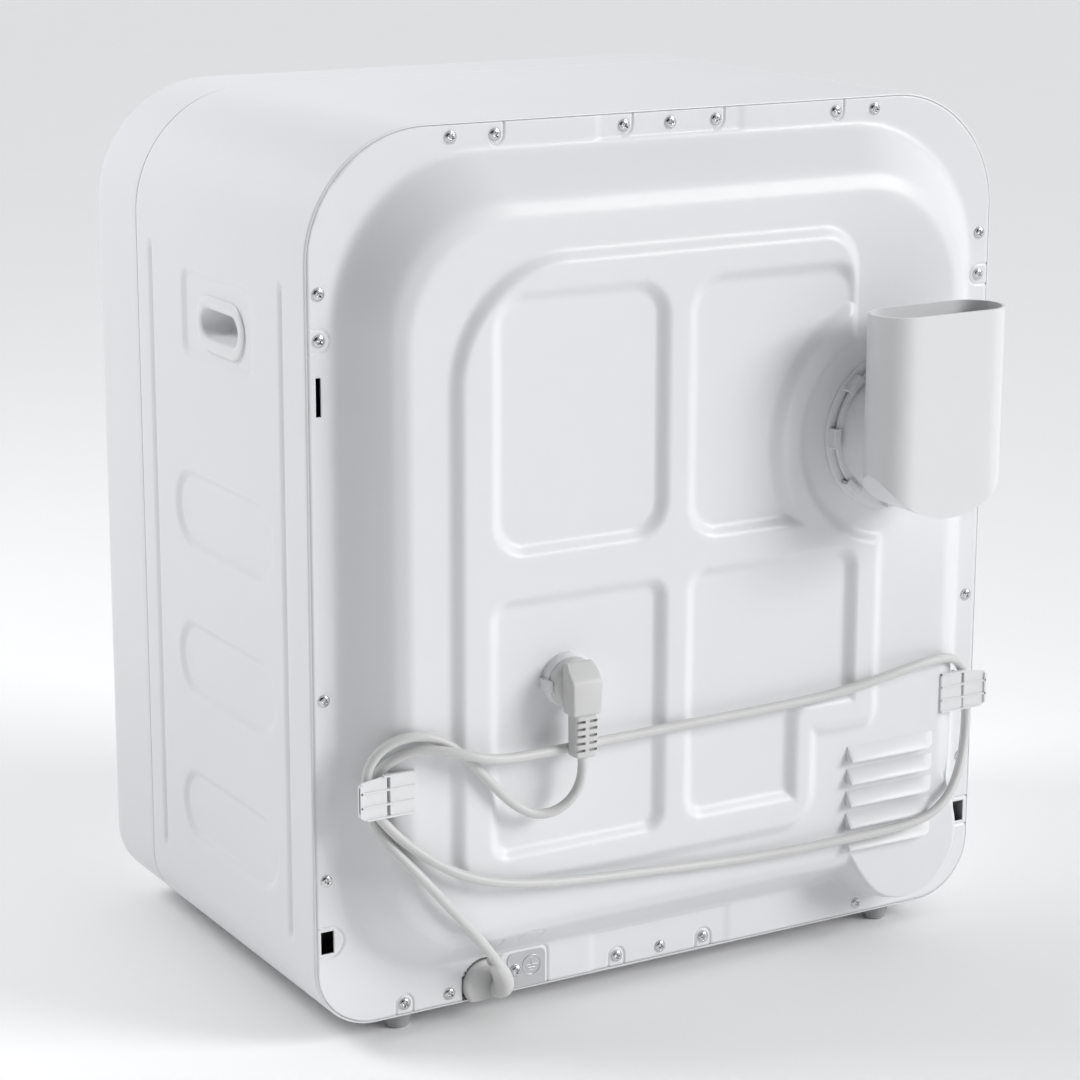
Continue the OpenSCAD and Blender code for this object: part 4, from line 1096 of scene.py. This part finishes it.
# The collar carries eight snap tabs.
collar_profile = from_y(DOME_Y, [(45, 0), (62, 0), (62, 0.8), (61.4, 1.2), (47.5, 1.2), (47.5, 15.4),
                                 (46.8, 16), (45, 16)])
TAB_HALF = 7.5
tab_profile = [(56.4, 0.5), (59.2, 0.5), (59.2, 8.3), (58.6, 9.0), (53.6, 9.0), (53.4, 8.6), (53.4, 7.1),
               (56.4, 7.1)]
collar = [lathe(EXHAUST_X, EXHAUST_Z, collar_profile, 128, closed=True)]
collar_middle = np.array([EXHAUST_X, DOME_Y, EXHAUST_Z])
for a in np.radians(np.arange(0, 360, 45)):
    radial = np.array([math.cos(a), 0, math.sin(a)])
    along = np.array([-math.sin(a), 0, math.cos(a)])
    collar.append(loft([np.array([collar_middle + r * radial + w * along + (0, y, 0) for r, y in tab_profile])
                        for w in (-TAB_HALF, TAB_HALF)]))
piece("exhaust_collar_ring", *join_shapes(*collar), "white_plastic", stands_for=["exhaust_collar"])

# -------- cord hooks and plug holder


def hook_shape(s):
    """Two plates side by side over the slope, tied by ribs, on a stepped root."""
    y = DOME_Y
    inner = [(237, 191), (243, 189.3), (256.6, 189.3), (256.6, 222), (237, 222)]
    outer = [(259.4, 189.3), (276, 189.3), (280.4, 192.5), (280.9, 196), (280.9, 215), (279.5, 218.5),
             (259.4, 221.7)]
    edge = [(279.2, 192), (280.9, 193), (280.9, 216), (279.2, 217)]
    shapes = [slab(np.array(shape, float) * (s, 1), y - 0.2, y + 1.2) for shape in (inner, outer)]
    root = np.array(from_y(y, [(236.5, -1), (236.5, 1), (256, 1), (256, -9), (254, -9), (250, -4.5),
                               (240, -1)])) * (s, 1)
    shapes.append(loft([level_ring(root, z) for z in (191, 220)]))
    for z, x1 in ((189.6, 276), (199.4, 280.6), (210.2, 280.6), (220.4, 262)):
        shapes.append(box(min(s * 237, s * x1), max(s * 237, s * x1), y - 1.2, y + 2.4, z, z + 1.3))
    shapes.append(slab(np.array(edge, float) * (s, 1), y - 2.4, y + 2.4))
    return join_shapes(*shapes)


for s, node in ((1, "cord_hook_left"), (-1, "cord_hook_right")):
    piece(node + "_plate", *hook_shape(s), "white_plastic", stands_for=[node])

holder_profile = (from_y(DOME_Y, [(0, -0.4), (20.5, -0.4), (20.5, 5), (20, 6.4)])
                  + from_y(PLUG_Y, [(19.3, -0.3), (18, -0.1), (0, -0.1)]))
holder = [lathe(PLUG_X, PLUG_Z, holder_profile, 72)]
for s in (-1, 1):
    x = PLUG_X + s * 20.8
    holder.append(box(x - 1.7, x + 1.7, DOME_Y, PLUG_Y + 5.9, PLUG_Z - 4, PLUG_Z + 4))
piece("plug_holder_cup", *join_shapes(*holder), "white_plastic", stands_for=["plug_holder"], bevel=0.3)

# -------- cord gland and earth plate

# The gland's cap is flat at the cabinet's lower edge.
cap_profile = from_y(REAR_Y, [(0, -2), (18.2, -2), (18.4, 1.6), (17.6, 3.2), (15.4, 3.9), (0, 3.9)])
gland_cap = lathe(GLAND_X, GLAND_Z, cap_profile, 72)
gland_cap[0][:, 2] = np.maximum(gland_cap[0][:, 2], FLOOR_Z + 0.5)
boot_route = np.array([(148, 3.5, 23), (147.5, 8, 24.5), (148, 13, 30), (151, 15, 38), (157, 18, 47),
                       (164, 24, 56)])
boot_line = spline_points(boot_route + [0, REAR_Y, 0], 6)
boot_radii = np.interp(np.linspace(0, 1, len(boot_line)), [0, 0.25, 0.6, 1], [8.2, 8.6, 7.2, 5.0])
boot = sweep(boot_line, np.column_stack([boot_radii, boot_radii]), (1, 0, 0.2), 28)
piece("cord_gland_boot", *join_shapes(gland_cap, boot), "cord_sheath", stands_for=["cord_gland"], sharp=50)

# The earth plate with its symbol, a circle round three bars and a stem, in low relief.
SIGN_X, SIGN_Z = 117, FLOOR_Z + 19
SIGN_Y0, SIGN_Y1 = REAR_Y + 0.4, REAR_Y + 0.9
plate_outline = rounded_outline(105, 138, FLOOR_Z + 2.5, FLOOR_Z + 31, [1, 3, 5, 5])
sign_profile = [(7.4, SIGN_Y0), (8.4, SIGN_Y0), (8.3, SIGN_Y1), (7.5, SIGN_Y1)]
earth = [slab(plate_outline, REAR_Y - 0.2, REAR_Y + 0.5),
         lathe(SIGN_X, SIGN_Z, sign_profile, 48, closed=True)]
for half, dz in ((4.8, 0), (3.2, -2.4), (1.5, -4.6)):
    earth.append(box(SIGN_X - half, SIGN_X + half, SIGN_Y0, SIGN_Y1, SIGN_Z + dz - 0.45, SIGN_Z + dz + 0.45))
earth.append(box(SIGN_X - 0.5, SIGN_X + 0.5, SIGN_Y0, SIGN_Y1, SIGN_Z, SIGN_Z + 5.6))
piece("earth_plate_pressing", *join_shapes(*earth), "zinc_steel", stands_for=["earth_plate"])
piece("earth_screw", *screw_shape(131, FLOOR_Z + 17, REAR_Y + 0.4, 0.4), "chrome", sharp=50)

# -------- feet

FOOT_X = 222
FOOT_PROFILE = ((8.2, 0), (8.9, 0.6), (9.4, 2), (11.2, 9.4), (12, 10.2), (12, FLOOR_Z - 2))
feet = []
for s in (-1, 1):
    for y in (REAR_Y - 21, FRONT_Y + 30):
        x = s * FOOT_X
        feet.append(loft([level_ring(circle(x, y, r, 48), z) for r, z in FOOT_PROFILE]))
        plate = rounded_outline(x - 22, x + 22, y - 14, y + 14, [3] * 4, 4)
        feet.append(loft([level_ring(plate, z) for z in (FLOOR_Z - 2, FLOOR_Z)]))
piece("levelling_feet", *join_shapes(*feet), "grey_plastic", stands_for=["feet"], sharp=40)
